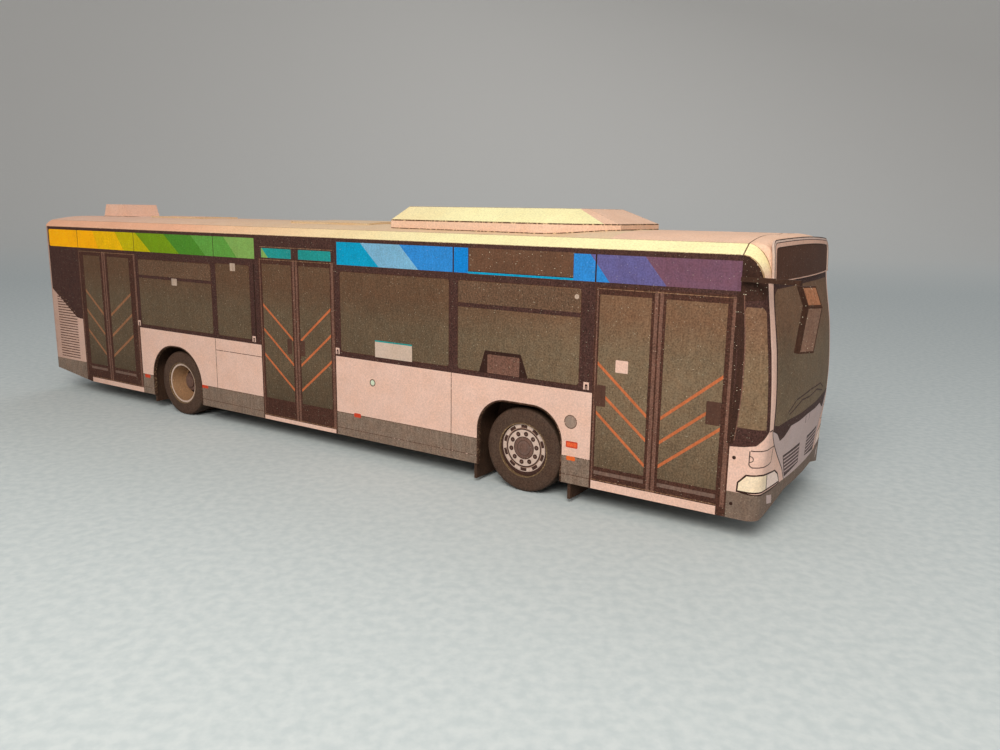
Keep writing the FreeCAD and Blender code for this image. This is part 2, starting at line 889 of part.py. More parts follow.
def body_pieces():
    """Every fixed piece, by its node's name."""
    wall = side_wall()
    shell = nose_shell()
    outer_y = half_width
    pieces = {
        "floor_panel": floor_panel(),
        "side_wall_right": wall,
        "side_wall_left": mirrored(wall),
        "rear_wall": rear_wall(),
        "roof_skin": roof_skin(),
        "front_dome": front_dome(),
        "front_mask": nose_piece(shell, -mask_half_width, mask_half_width, skirt_z, mask_top_z),
        "windscreen": nose_piece(
            shell, -windscreen_half_width, windscreen_half_width, mask_top_z, windscreen_top_z
        ),
        "display_frame": display_frame_ring(),
        "display_panel": display_panel(),
        "pod_band": pod_band(),
        "pod_cap": pod_cap(),
        "rear_roof_box": rear_roof_box(),
        "roof_hatch_rear": roof_hatch(
            rear_axle_x + rear_hatch_x, rear_hatch_length, rear_hatch_half_width
        ),
        "roof_hatch_middle": roof_hatch(
            front_axle_x + middle_hatch_x, middle_hatch_length, middle_hatch_half_width
        ),
        "mirror_arm_right": right_arm(),
        "mirror_wide_right": right_wide_mirror(),
        "mirror_main_right": right_mirror(),
        "mirror_arm_left": left_arm(),
        "mirror_main_left": left_mirror(),
    }
    corner = nose_piece(shell, -outer_y, -mask_half_width, skirt_z, mask_top_z)
    pillar = nose_piece(shell, -outer_y, -windscreen_half_width, mask_top_z, windscreen_top_z)
    pieces["lamp_corner_right"] = corner
    pieces["lamp_corner_left"] = mirrored(corner)
    pieces["corner_pillar_right"] = pillar
    pieces["corner_pillar_left"] = mirrored(pillar)
    liners = {
        "front": arch_liner(
            front_axle_x, front_axle_x + front_liner_shift, front_liner_half_width,
            front_well_depth, front_flap_z, front_flap_z,
        ),
        "rear": arch_liner(
            rear_axle_x, rear_axle_x + rear_liner_shift, rear_liner_half_width,
            rear_well_depth, rear_flap_z, skirt_z,
        ),
    }
    for name, liner in liners.items():
        pieces[f"arch_liner_{name}_right"] = liner
        pieces[f"arch_liner_{name}_left"] = mirrored(liner)
    pieces["axle_tube_front"] = axle_tube(front_axle_x, front_well_depth)
    pieces["axle_tube_rear"] = axle_tube(rear_axle_x, rear_well_depth)
    return pieces


def wheel_pieces():
    """The pieces of both wheelsets."""
    outer_y = wheel_inset - half_width
    face_y = outer_y + rim_inset
    back_y = outer_y + tyre_width - rim_back
    rear_end = outer_y + dish_depth
    right = {
        "tyre_front": tyre(front_axle_x, outer_y, tyre_width, rim_radius),
        "rim_front": front_rim(front_axle_x, outer_y),
        "tyre_rear_outer": tyre(rear_axle_x, outer_y, twin_tyre_width, rim_radius),
        "tyre_rear_inner": inner_twin(rear_axle_x, outer_y),
        "dish_rear": rear_dish(rear_axle_x, outer_y),
    }
    pieces = {
        "axle_front": axle(front_axle_x, -(back_y - (back_y - face_y) / 2) - glue_gap),
        "axle_rear": axle(rear_axle_x, -rear_end - glue_gap),
    }
    for name, shape in right.items():
        pieces[f"{name}_right"] = shape
        pieces[f"{name}_left"] = mirrored(shape)
    return pieces


def write(pieces):
    """One file for each piece."""
    for name, shape in pieces.items():
        solids = shape.Solids
        kept = solids[0] if len(solids) == 1 else Part.makeCompound(solids)
        kept.exportStep(f"parts/{name}.step")


write(body_pieces())
write(wheel_pieces())
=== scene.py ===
import json
import math

import bpy
import numpy as np
from mathutils import Matrix, Vector
from mathutils.geometry import delaunay_2d_cdt


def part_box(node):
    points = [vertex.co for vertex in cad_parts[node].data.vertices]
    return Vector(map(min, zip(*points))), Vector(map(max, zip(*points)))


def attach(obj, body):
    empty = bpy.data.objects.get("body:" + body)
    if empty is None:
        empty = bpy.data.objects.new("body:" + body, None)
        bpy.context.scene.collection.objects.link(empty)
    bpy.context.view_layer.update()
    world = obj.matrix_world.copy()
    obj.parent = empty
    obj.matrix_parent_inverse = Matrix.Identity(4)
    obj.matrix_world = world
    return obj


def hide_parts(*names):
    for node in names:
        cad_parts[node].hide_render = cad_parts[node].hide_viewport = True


bl_info = {
    "name": "Card bus dresser",
    "version": (1, 0, 0),
    "blender": (4, 5, 0),
    "location": "View3D > Sidebar > Card bus",
    "description": "Prints, cuts and folds the card skins of a small model bus round its CAD frame",
    "category": "Object",
}

MM = 0.001

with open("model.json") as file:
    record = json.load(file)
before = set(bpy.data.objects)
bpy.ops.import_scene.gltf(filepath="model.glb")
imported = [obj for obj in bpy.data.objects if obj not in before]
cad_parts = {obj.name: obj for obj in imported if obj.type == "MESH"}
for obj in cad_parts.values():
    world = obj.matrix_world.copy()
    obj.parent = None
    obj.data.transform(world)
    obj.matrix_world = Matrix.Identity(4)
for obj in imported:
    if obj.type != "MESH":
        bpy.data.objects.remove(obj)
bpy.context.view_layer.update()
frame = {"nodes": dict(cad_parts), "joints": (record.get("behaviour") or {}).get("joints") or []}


def joint_place(name):
    """Where a wheelset turns, in millimetres."""
    found = [j for j in frame["joints"] if j["name"] == name]
    return [value / MM for value in found[0]["pos_m"]]


def node_box(name):
    """The lowest and highest corners of a node, in millimetres."""
    low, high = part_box(name)
    return low / MM, high / MM


# Places read from the frame, in millimetres
FRONT_AXLE_X, _, AXLE_Z = joint_place("front_wheels_roll")
REAR_AXLE_X = joint_place("rear_wheels_roll")[0]
SIDE_LOW, SIDE_HIGH = node_box("side_wall_right")
HALF_WIDTH = -SIDE_LOW.y
SIDE_REAR_U = SIDE_LOW.x - FRONT_AXLE_X
SIDE_FRONT_U = SIDE_HIGH.x - FRONT_AXLE_X
SKIRT_Z = SIDE_LOW.z
WALL_TOP_Z = SIDE_HIGH.z
REAR_U = node_box("rear_wall")[0].x - FRONT_AXLE_X
CROWN_Z = node_box("roof_skin")[1].z
REAR_CORNER = SIDE_REAR_U - REAR_U
REAR_AXLE_U = REAR_AXLE_X - FRONT_AXLE_X


# Colours

def shade(code):
    """A six-digit colour as the linear values that Blender uses."""
    parts = [int(code[i:i + 2], 16) / 255 for i in (1, 3, 5)]
    return tuple(p / 12.92 if p <= 0.04045 else ((p + 0.055) / 1.055) ** 2.4 for p in parts)


def colour_setting(name, description, code):
    """A colour that a user can change."""
    return bpy.props.FloatVectorProperty(
        name=name, description=description, subtype="COLOR", size=3, min=0, max=1, default=shade(code)
    )


class CardBusSettings(bpy.types.PropertyGroup):
    """Sizes and colours that a user would change"""

    card: bpy.props.FloatProperty(
        name="Card thickness", description="Thickness of the body's card", default=0.0005,
        min=0.0002, max=0.001, unit="LENGTH", precision=5,
    )
    fold_step: bpy.props.FloatProperty(
        name="Fold step", description="Spacing of the bends where card is rolled round a corner",
        default=0.0004, min=0.0002, max=0.002, unit="LENGTH", precision=5,
    )
    white: colour_setting("White card", "Colour of the unprinted card of the sides", "#E2BCAC")
    roof: colour_setting("Roof card", "Colour of the roof and the lid of its pod", "#E0C5A5")
    black: colour_setting("Black print", "Colour of the printed window surrounds", "#48302B")
    glass: colour_setting("Window print", "Colour of the printed window panes", "#624A38")
    skirt: colour_setting("Skirt print", "Colour of the grey band along the sills", "#806E61")
    stripe: colour_setting("Door stripes", "Colour of the slanting lines on the doors", "#BE6A42")
    tyre: colour_setting("Tyre card", "Colour of the tyres", "#4F3D33")
    key_power: bpy.props.FloatProperty(
        name="Main light", description="Power of the soft light on the door side",
        default=0.52, min=0, max=50, unit="POWER",
    )
    lens: bpy.props.FloatProperty(
        name="Lens", description="Focal length of the camera", default=29.58, min=10, max=200,
        subtype="DISTANCE_CAMERA",
    )


# Node trees

def fill(tree, socket, value):
    """Sets an input to a value, or links an output to it."""
    if isinstance(value, bpy.types.NodeSocket):
        tree.links.new(value, socket)
    elif socket.type == "RGBA":
        socket.default_value = (*value[:3], 1)
    else:
        socket.default_value = value


def add_node(tree, kind, inputs, **choices):
    """A node with its choices made and its inputs set or linked."""
    node = tree.nodes.new(kind)
    for label, value in choices.items():
        setattr(node, label, value)
    for label, value in inputs.items():
        fill(tree, node.inputs[label], value)
    return node


def new_tree(name, kind, inputs, outputs):
    """An empty node tree with named sockets, the outputs of its source and the inputs of its sink."""
    tree = bpy.data.node_groups.new(name, kind + "NodeTree")
    for label, (socket_kind, value) in inputs.items():
        socket = tree.interface.new_socket(label, in_out="INPUT", socket_type="NodeSocket" + socket_kind)
        if value is not None:
            socket.default_value = value
    for label, socket_kind in outputs.items():
        tree.interface.new_socket(label, in_out="OUTPUT", socket_type="NodeSocket" + socket_kind)
    return tree, tree.nodes.new("NodeGroupInput").outputs, tree.nodes.new("NodeGroupOutput").inputs


def math_node(tree, operation, first, second, clamp=False):
    """A sum of two values or sockets."""
    inputs = {0: first, 1: second}
    return add_node(tree, "ShaderNodeMath", inputs, operation=operation, use_clamp=clamp).outputs[0]


def brightened(tree, colour, level):
    """A colour times a value."""
    return add_node(tree, "ShaderNodeVectorMath", {0: colour, "Scale": level}, operation="SCALE").outputs[0]


def noise_node(tree, vector, scale, detail, stretch=None):
    """Noise on a vector, drawn out along an axis where stretch is given."""
    if stretch is not None:
        vector = add_node(tree, "ShaderNodeMapping", {"Scale": stretch, "Vector": vector}).outputs["Vector"]
    inputs = {"Scale": scale, "Detail": detail, "Vector": vector}
    return add_node(tree, "ShaderNodeTexNoise", inputs).outputs["Fac"]


def map_range(tree, value, low, high, to_low=0.0, to_high=1.0):
    """A value carried from one span to another, held at its ends."""
    spans = {"From Min": low, "From Max": high, "To Min": to_low, "To Max": to_high}
    return add_node(tree, "ShaderNodeMapRange", {**spans, "Value": value}).outputs["Result"]


def along_axis(tree, vector, axis, low, high, to_low=0.0, to_high=1.0):
    """A value that changes between two places along an axis, in metres."""
    parts = add_node(tree, "ShaderNodeSeparateXYZ", {0: vector})
    return map_range(tree, parts.outputs[axis], low, high, to_low, to_high)


def mix_colour(tree, factor, first, second, blend="MIX"):
    """Two colours mixed by a factor."""
    inputs = {0: factor, 6: first, 7: second}
    return add_node(tree, "ShaderNodeMix", inputs, data_type="RGBA", blend_type=blend).outputs[2]


def bumped(tree, height, strength, distance):
    """A normal that a height raises."""
    inputs = {"Strength": strength, "Distance": distance, "Height": height}
    return add_node(tree, "ShaderNodeBump", inputs).outputs["Normal"]


# Shader groups

def build_grain_group():
    """Paper fibres: a fine height and a slow cloudiness."""
    tree, source, sink = new_tree(
        "Paper grain", "Shader", {"Vector": ("Vector", None), "Fine": ("Float", 9000.0)},
        {"Height": "Float", "Cloud": "Float"},
    )
    vector = source["Vector"]
    inputs = {"Detail": 3.0, "Roughness": 0.65, "Vector": vector, "Scale": source["Fine"]}
    fill(tree, sink["Height"], add_node(tree, "ShaderNodeTexNoise", inputs).outputs["Fac"])
    fill(tree, sink["Cloud"], noise_node(tree, vector, 260.0, 3.0))
    return tree


def build_ink_group():
    """Ink on card: uneven cover, upright streaks and specks where the card shows through."""
    tree, source, sink = new_tree(
        "Ink cover", "Shader",
        {
            "Vector": ("Vector", None), "Ink": ("Color", (0.1, 0.1, 0.1, 1)),
            "Card": ("Color", (0.7, 0.6, 0.5, 1)),
            "Unevenness": ("Float", 0.3), "Streaks": ("Float", 0.3), "Specks": ("Float", 0.5),
        },
        {"Color": "Color"},
    )
    vector = source["Vector"]
    grain = map_range(tree, noise_node(tree, vector, 5200.0, 2.0), 0.32, 0.68, -1.0, 1.0)
    grain = math_node(tree, "MULTIPLY", grain, source["Unevenness"])
    streak = map_range(tree, noise_node(tree, vector, 3600.0, 1.0, (1.0, 1.0, 0.15)), 0.35, 0.65, -1.0, 1.0)
    streak = math_node(tree, "MULTIPLY", streak, source["Streaks"])
    level = math_node(tree, "ADD", math_node(tree, "ADD", grain, streak), 1.0)
    tint = map_range(tree, noise_node(tree, vector, 900.0, 2.0), 0.35, 0.65, 0.0, 0.16)
    warm = mix_colour(tree, tint, brightened(tree, source["Ink"], level), (0.55, 0.34, 0.22), "OVERLAY")
    speck = map_range(tree, noise_node(tree, vector, 6500.0, 0.0), 0.79, 0.83)
    speck = math_node(tree, "MULTIPLY", speck, source["Specks"], True)
    fill(tree, sink["Color"], mix_colour(tree, speck, warm, source["Card"]))
    return tree


def build_broken_line_group():
    """A pen line along a fold or a cut, worn through in places."""
    tree, source, sink = new_tree(
        "Broken line", "Shader",
        {
            "Vector": ("Vector", None), "Line": ("Color", (0.1, 0.05, 0.03, 1)),
            "Card": ("Color", (0.7, 0.6, 0.5, 1)), "Wear": ("Float", 0.5),
        },
        {"Color": "Color"},
    )
    edge = math_node(tree, "SUBTRACT", 0.72, math_node(tree, "MULTIPLY", source["Wear"], 0.3))
    worn = math_node(tree, "SUBTRACT", noise_node(tree, source["Vector"], 3800.0, 3.0), edge)
    worn = map_range(tree, worn, -0.05, 0.08)
    fill(tree, sink["Color"], mix_colour(tree, worn, source["Line"], source["Card"]))
    return tree


GROUP_MAKERS = {
    "Paper grain": build_grain_group, "Ink cover": build_ink_group, "Broken line": build_broken_line_group,
}


def place_group(tree, name, inputs):
    """The outputs of a group node. Its group is built the first time it is asked for."""
    group = bpy.data.node_groups.get(name) or GROUP_MAKERS[name]()
    return add_node(tree, "ShaderNodeGroup", inputs, node_tree=group).outputs


# Inks and cards

GRAIN_DEPTH = 0.00004


def fresh_material(name, colour, roughness, gloss=0.12):
    """A material with its shader's inputs, and Object coordinates to hang its nodes on."""
    material = bpy.data.materials.new(name)
    material.use_nodes = True
    tree = material.node_tree
    shader = tree.nodes["Principled BSDF"].inputs
    for label, value in (("Base Color", colour), ("Roughness", roughness), ("Specular IOR Level", gloss)):
        fill(tree, shader[label], value)
    material.diffuse_color = (*colour, 1)
    return material, tree, shader, tree.nodes.new("ShaderNodeTexCoord").outputs["Object"]


def rough_card(tree, shader, vector, fine, bump):
    """Paper grain under everything, raised a little."""
    grain = place_group(tree, "Paper grain", {"Fine": fine, "Vector": vector})
    fill(tree, shader["Normal"], bumped(tree, grain["Height"], bump, GRAIN_DEPTH))
    return grain


def printed(name, ink, card, unevenness, streaks, specks, ink_at=None):
    """Inkjet print on matt card. ink_at makes an ink that changes over the surface."""
    material, tree, shader, vector = fresh_material(name, ink, 0.62)
    grain = rough_card(tree, shader, vector, 7000.0, 0.35)
    cover = place_group(tree, "Ink cover", {
        "Ink": ink_at(tree, vector) if ink_at else ink, "Card": card, "Unevenness": unevenness,
        "Streaks": streaks, "Specks": specks, "Vector": vector,
    })
    cloud = map_range(tree, grain["Cloud"], 0.3, 0.7, 0.93, 1.07)
    fill(tree, shader["Base Color"], brightened(tree, cover["Color"], cloud))
    fill(tree, shader["Roughness"], map_range(tree, grain["Height"], 0.3, 0.7, 0.54, 0.72))
    return material


def window_print(name, upper, lower, glint):
    """Printed glass, browner at its head, darker at its foot, and brighter towards the front by a painted
    sheen.
    """
    def ink_at(tree, vector):
        height = along_axis(tree, vector, "Z", 0.0195, 0.0235)
        dim = along_axis(tree, vector, "Z", 0.006, 0.012, 0.72, 1.0)
        # Painted sheen: up to half again as bright towards the front, in place of the light's reflection on
        # the glass.
        painted_sheen = along_axis(tree, vector, "X", 0.02, 0.052, 1.0, 1.5)
        level = math_node(tree, "MULTIPLY", painted_sheen, dim)
        return brightened(tree, mix_colour(tree, height, lower, upper), level)

    return printed(name, upper, glint, 0.3, 0.06, 0.35, ink_at)


def bare_card(name, colour, warmth=0.0, blend=()):
    """Unprinted card, cloudy and with fine fibres; blend gives an axis, two places and another colour."""
    material, tree, shader, vector = fresh_material(name, colour, 0.7, 0.2)
    grain = rough_card(tree, shader, vector, 5000.0, 0.4)
    cloud = map_range(tree, grain["Cloud"], 0.3, 0.7, 0.965, 1.035)
    fleck = map_range(tree, grain["Height"], 0.3, 0.7, 0.86, 1.14)
    base = colour
    if blend:
        base = mix_colour(tree, along_axis(tree, vector, *blend[:3]), shade(blend[3]), colour)
    cloudy = brightened(tree, base, math_node(tree, "MULTIPLY", cloud, fleck))
    blotch = map_range(tree, noise_node(tree, vector, 420.0, 2.0), 0.4, 0.7, 0.0, 0.12 + warmth)
    fill(tree, shader["Base Color"], mix_colour(tree, blotch, cloudy, (0.95, 0.72, 0.50), "MULTIPLY"))
    fill(tree, shader["Roughness"], map_range(tree, grain["Height"], 0.3, 0.7, 0.64, 0.8))
    return material


def pen_line(name, line, card, wear):
    """A thin dark line along a fold or a cut edge."""
    material, tree, shader, vector = fresh_material(name, line, 0.65)
    rough_card(tree, shader, vector, 7000.0, 0.4)
    inputs = {"Line": line, "Card": card, "Wear": wear, "Vector": vector}
    fill(tree, shader["Base Color"], place_group(tree, "Broken line", inputs)["Color"])
    return material


def wood_stick(name):
    """A bare round stick, its grain along its length."""
    material, tree, shader, vector = fresh_material(name, shade("#B8946A"), 0.55)
    grain = noise_node(tree, vector, 2400.0, 4.0, (1.0, 0.04, 1.0))
    colour = mix_colour(tree, map_range(tree, grain, 0.3, 0.7), shade("#C9A87E"), shade("#8E6A45"))
    fill(tree, shader["Base Color"], colour)
    fill(tree, shader["Normal"], bumped(tree, grain, 0.4, 0.00003))
    return material


# Colours are codes or the names of settings
PAPER = "#FBEFD2"
STRIPS = {
    "amber strip": "#FFB401", "ochre strip": "#EAB601", "moss strip": "#BFB200", "leaf strip": "#729612",
    "green strip": "#4A8629", "meadow strip": "#5D9940", "pale green strip": "#7DA656",
    "teal strip": "#208F8D",
    "cyan strip": "#0398C3", "sky strip": "#77ADCD", "blue strip": "#2D83CC", "clear blue strip": "#0F80D0",
    "indigo strip": "#605B8E", "violet strip": "#704E60",
}

# An ink's name and colour, the paper that shows through it, its unevenness, streaks and specks
PRINTS = (
    ("black", "black", PAPER, 0.42, 0.08, 0.3),
    ("door black", "#4A2F26", PAPER, 0.4, 0.08, 0.3),
    ("corner black", "#3E2820", PAPER, 0.25, 0.1, 1.0),
    ("door frame", "#725246", PAPER, 0.35, 0.1, 0.4),
    ("gasket", "#35201A", PAPER, 0.15, 0.08, 0.2),
    ("frame glint", "#86674F", PAPER, 0.35, 0.3, 0.8),
    ("handle", "#53392F", PAPER, 0.12, 0.06, 0.2),
    ("kick bar", "#745D53", PAPER, 0.15, 0.1, 0.3),
    ("skirt", "skirt", PAPER, 0.3, 0.1, 0.15),
    ("stripe", "stripe", PAPER, 0.12, 0.06, 0.1),
    # The rear door's stripes are darker and duller than those of the other doors.
    ("faded stripe", "#94674A", PAPER, 0.12, 0.08, 0.1),
    ("reflector", "#C8452B", "white", 0.12, 0.05, 0.2),
    ("reflector glow", "#E8643A", "white", 0.15, 0.05, 0.3),
    ("marker", "#E2692E", "white", 0.08, 0.05, 0.2),
    ("flap grey", "#9A8578", "white", 0.1, 0.1, 0.2),
    ("mint", "#C9D4BE", "white", 0.05, 0.05, 0.1),
    ("faint glass", "#664E3D", PAPER, 0.4, 0.05, 0.4),
    ("pale mark", "#B5A090", "white", 0.12, 0.1, 0.2),
    ("sign", "#654837", PAPER, 0.22, 0.06, 0.7),
    ("grille", "#5E4A48", PAPER, 0.12, 0.1, 0.2),
    ("bumper", "#78665A", PAPER, 0.2, 0.08, 0.4),
    ("display", "#53372B", PAPER, 0.14, 0.06, 0.3),
    ("display rim", "#CFA896", "white", 0.1, 0.05, 0.2),
    ("mirror face", "#775C4E", PAPER, 0.2, 0.08, 0.4),
    ("mirror case", "#422C22", PAPER, 0.18, 0.08, 0.4),
    ("wide mirror", "#91644A", PAPER, 0.22, 0.08, 0.6),
    ("tyre", "tyre", "#9C8A76", 0.3, 0.05, 0.3),
    ("tread", "#3E3026", "#9C8A76", 0.2, 0.1, 0.3),
    ("rim dark", "#46302A", PAPER, 0.15, 0.05, 0.2),
    ("rim shade", "#9C8173", PAPER, 0.15, 0.05, 0.2),
    ("hub", "#6C534A", PAPER, 0.15, 0.08, 0.2),
    ("hub light", "#6E5850", PAPER, 0.15, 0.08, 0.2),
    ("dish", "#957355", PAPER, 0.12, 0.08, 0.2),
    ("well", "#49362B", "#8E7B68", 0.2, 0.12, 0.3),
    ("floor", "#6B6058", PAPER, 0.12, 0.1, 0.2),
    ("lamp red", "#B5352A", PAPER, 0.1, 0.05, 0.2),
    *((name, code, PAPER, 0.16, 0.04, 0.2) for name, code in STRIPS.items()),
)

# A line's name and colour, the card it runs on and its wear
LINES = (
    ("inked edge", "#4A3328", "#8F755A", 0.45),
    ("seam", "#54382C", "white", 0.25),
    ("arch line", "#3F2A20", "#7A5C49", 0.4),
    ("fold", "#94704F", "roof", 0.45),
    ("roof seam", "#6A4A36", "roof", 0.35),
    # This ink draws the pod's glue seams and, at the band's foot, its painted contact shadow.
    ("rough seam", "#5F402C", "#DDBE92", 0.5),
    # The front seam runs on the front's greyer white, which is painted shade.
    ("front seam", "#473230", "#C3ADA6", 0.1),
    ("tyre edge", "#6E573F", "#A78A66", 0.4),
)

# A card's name, colour and warmth, then where it blends from another colour along an axis
CARDS = (
    # The white card darkens towards the tail: painted shade where the light falls off.
    ("white", "white", 0.06, "X", -0.069, -0.05, "#BE9B8C"),
    ("roof", "roof", 0.08, "X", -0.05, 0.0, "#E7C0AB"),
    ("dome", "#E9C3AA", 0.05),
    # The coving's pale yellow is a painted highlight of the warm light on its slope, fading pinker towards
    # the rear as the painted light falls off.
    ("coving", "#F2EBB7", 0.0, "X", -0.03, 0.025, "#EBB394"),
    # The petal's yellow head and pinker foot are painted light: a highlight at the top of the dome's side
    # facets, shade below.
    ("petal", "#FBEDB8", 0.0, "Z", 0.0288, 0.0304, "#EBC3AA"),
    ("inside", "#B9A594", 0.0),
    ("edge", "#D8BE98", 0.25),
    ("label", "#C9B2A2", 0.0),
    ("lamp", "#F0DCC0", 0.12),
    ("side lamp", "#F0D8CC", 0.0),
    # The front's greyer white is painted shade: the sides' white card, darkened where the front faces away
    # from the light.
    ("front white", "#C3ADA9", 0.0),
    ("display edge", "#CDB3A6", 0.0),
    ("arm edge", "#8A7A52", 0.3),
    ("rim", "#CBB3A6", 0.0),
    ("tube", "#A9937E", 0.0),
)
INKS = {}


def mix_up(context):
    """Makes every ink and card that the pieces use, the first time, and hands back the settings."""
    settings = context.scene.card_bus
    if INKS:
        return settings
    names = ("white", "roof", "black", "glass", "skirt", "stripe", "tyre")
    chosen = {name: tuple(getattr(settings, name)) for name in names}

    def colour(code):
        """A setting's colour, or the colour of a code."""
        return chosen[code] if code in chosen else shade(code)

    for name, code, paper, *cover in PRINTS:
        INKS[name] = printed(f"{name.capitalize()} print", colour(code), colour(paper), *cover)
    for name, code, card, wear in LINES:
        INKS[name] = pen_line(f"{name.capitalize()} line", colour(code), colour(card), wear)
    for name, code, warmth, *blend in CARDS:
        INKS[name] = bare_card(f"{name.capitalize()} card", colour(code), warmth, blend)
    foot = tuple(a * b for a, b in zip(chosen["glass"], (1.0, 1.25, 1.33)))
    INKS["glass"] = window_print("Window print", chosen["glass"], foot, shade(PAPER))
    corner = (shade("#684E3C"), shade("#665441"))
    INKS["quarter glass"] = window_print("Corner window print", *corner, shade(PAPER))
    INKS["stick"] = wood_stick("Axle stick")
    return settings


# Shapes on a flat sheet

def arc(u, z, radius, start, turn, steps):
    """Points along an arc round a place, from a start and through a turn in degrees."""
    turns = [math.radians(start + turn * step / steps) for step in range(steps + 1)]
    return [(u + radius * math.cos(a), z + radius * math.sin(a)) for a in turns]


def rectangle(u0, z0, u1, z1, radius=0.0):
    """A rectangle's corners in order, rounded where a radius is given."""
    if radius <= 0:
        return [(u0, z0), (u1, z0), (u1, z1), (u0, z1)]
    left, right, low, high = u0 + radius, u1 - radius, z0 + radius, z1 - radius
    corners = ((right, low, -90), (right, high, 0), (left, high, 90), (left, low, 180))
    return [spot for u, z, start in corners for spot in arc(u, z, radius, start, 90, 4)]


def boxes(*rows):
    """Prints from rows of an ink, two opposite corners and, where it is rounded, a radius."""
    return [(ink, rectangle(*spots)) for ink, *spots in rows]


def stroke(start, end, width):
    """A straight line of some width."""
    (u0, z0), (u1, z1) = start, end
    run = math.hypot(u1 - u0, z1 - z0)
    du, dz = (z0 - z1) / run * width / 2, (u1 - u0) / run * width / 2
    return [(u0 - du, z0 - dz), (u1 - du, z1 - dz), (u1 + du, z1 + dz), (u0 + du, z0 + dz)]


def disc(u, z, radius, count=20):
    """A round spot."""
    turns = [2 * math.pi * i / count for i in range(count)]
    return [(u + radius * math.cos(a), z + radius * math.sin(a)) for a in turns]


def path_strokes(ink, points, width):
    """A bent line as a run of straight strokes."""
    return [(ink, stroke(a, b, width)) for a, b in zip(points, points[1:])]


def inside(points, shape):
    """Which points lie in a closed shape."""
    x, y = points[:, 0], points[:, 1]
    found = np.zeros(len(points), bool)
    for index, (x1, y1) in enumerate(shape):
        x2, y2 = shape[index - 1]
        if y1 == y2:
            continue
        crosses = (y1 > y) != (y2 > y)
        found ^= crosses & (x < (x2 - x1) * (y - y1) / (y2 - y1) + x1)
    return found


def cut_sheet(outline, holes, prints, bends, base):
    """Triangles of a printed sheet: every edge of every shape is kept, and the last shape wins."""
    points, edges = [], []

    def add_loop(shape, closed=True):
        start, count = len(points), len(shape)
        points.extend(Vector(p) for p in shape)
        edges.extend((start + i, start + i + 1) for i in range(count - 1))
        if closed:
            edges.append((start + count - 1, start))

    for shape in (outline, *holes, *(shape for _, shape in prints)):
        add_loop(shape)
    for bend in bends:
        add_loop(bend, closed=False)
    made = delaunay_2d_cdt(points, edges, [], 0, 0.0005)
    flat = np.array([tuple(v) for v in made[0]])
    faces = np.array([f for f in made[2] if len(f) == 3])
    middle = flat[faces].mean(axis=1)
    kept = inside(middle, outline)
    for hole in holes:
        kept &= ~inside(middle, hole)
    a, b, c = (flat[faces[:, i]] for i in range(3))
    area = (b[:, 0] - a[:, 0]) * (c[:, 1] - a[:, 1]) - (b[:, 1] - a[:, 1]) * (c[:, 0] - a[:, 0])
    kept &= np.abs(area) > 1e-9
    faces, middle, area = faces[kept], middle[kept], area[kept]
    faces[area < 0] = faces[area < 0][:, ::-1]
    names = [base]
    chosen = np.zeros(len(faces), int)
    for ink, shape in prints:
        if ink not in names:
            names.append(ink)
        chosen[inside(middle, shape)] = names.index(ink)
    return flat, faces, names, chosen


def in_scene(name, data):
    """A new object of the scene that holds a mesh, a light or a camera."""
    obj = bpy.data.objects.new(name, data)
    bpy.context.scene.collection.objects.link(obj)
    return obj


def finish_mesh(name, points, faces, slots, materials, smooth_angle):
    """A piece with its place in its mesh, in metres."""
    mesh = bpy.data.meshes.new(name)
    corners = [tuple(p) for p in np.asarray(points) * MM]
    mesh.from_pydata(corners, [], [tuple(int(i) for i in f) for f in faces])
    for label in materials:
        mesh.materials.append(INKS[label])
    mesh.polygons.foreach_set("material_index", np.asarray(slots, np.int32))
    mesh.polygons.foreach_set("use_smooth", np.full(len(mesh.polygons), smooth_angle > 0))
    mesh.update()
    if smooth_angle > 0:
        mesh.set_sharp_from_angle(angle=math.radians(smooth_angle))
    return in_scene(name, mesh)


def card_solid(sheet, place, thickness, back, edge, edge_rule=None):
    """Gives a cut sheet its place in space and the card's thickness. Points are in millimetres."""
    flat, faces, names, chosen = sheet
    outer, normal = place(flat[:, 0], flat[:, 1])
    inner = outer - normal * thickness
    used = np.unique(faces)
    renumber = np.full(len(flat), -1)
    renumber[used] = np.arange(len(used))
    faces = renumber[faces]
    outer, inner, flat, normal = outer[used], inner[used], flat[used], normal[used]
    count = len(used)
    sides = np.cross(outer[faces[:, 1]] - outer[faces[:, 0]], outer[faces[:, 2]] - outer[faces[:, 0]])
    if (sides * normal[faces[:, 0]]).sum() < 0:
        faces = faces[:, ::-1]
    names = list(dict.fromkeys([*names, back, edge, "inked edge"]))
    seen = {pair: None for i, j, k in faces for pair in ((i, j), (j, k), (k, i))}
    border = [(i, j) for i, j in seen if (j, i) not in seen]
    walls = [(j, i, i + count, j + count) for i, j in border]
    labels = [edge_rule((flat[i] + flat[j]) / 2) if edge_rule else edge for i, j in border]
    all_faces = [*faces, *(f[::-1] + count for f in faces), *walls]
    slots = [*chosen, *[names.index(back)] * len(faces), *(names.index(label) for label in labels)]
    return np.vstack([outer, inner]), all_faces, slots, names


def card_piece(name, outline, prints, place, thickness, base="white", holes=(), bends=(),
               back="inside", edge="edge", edge_rule=None, smooth_angle=0):
    """A printed, cut and folded piece of card."""
    sheet = cut_sheet(outline, holes, prints, bends, base)
    return finish_mesh(name, *card_solid(sheet, place, thickness, back, edge, edge_rule), smooth_angle)


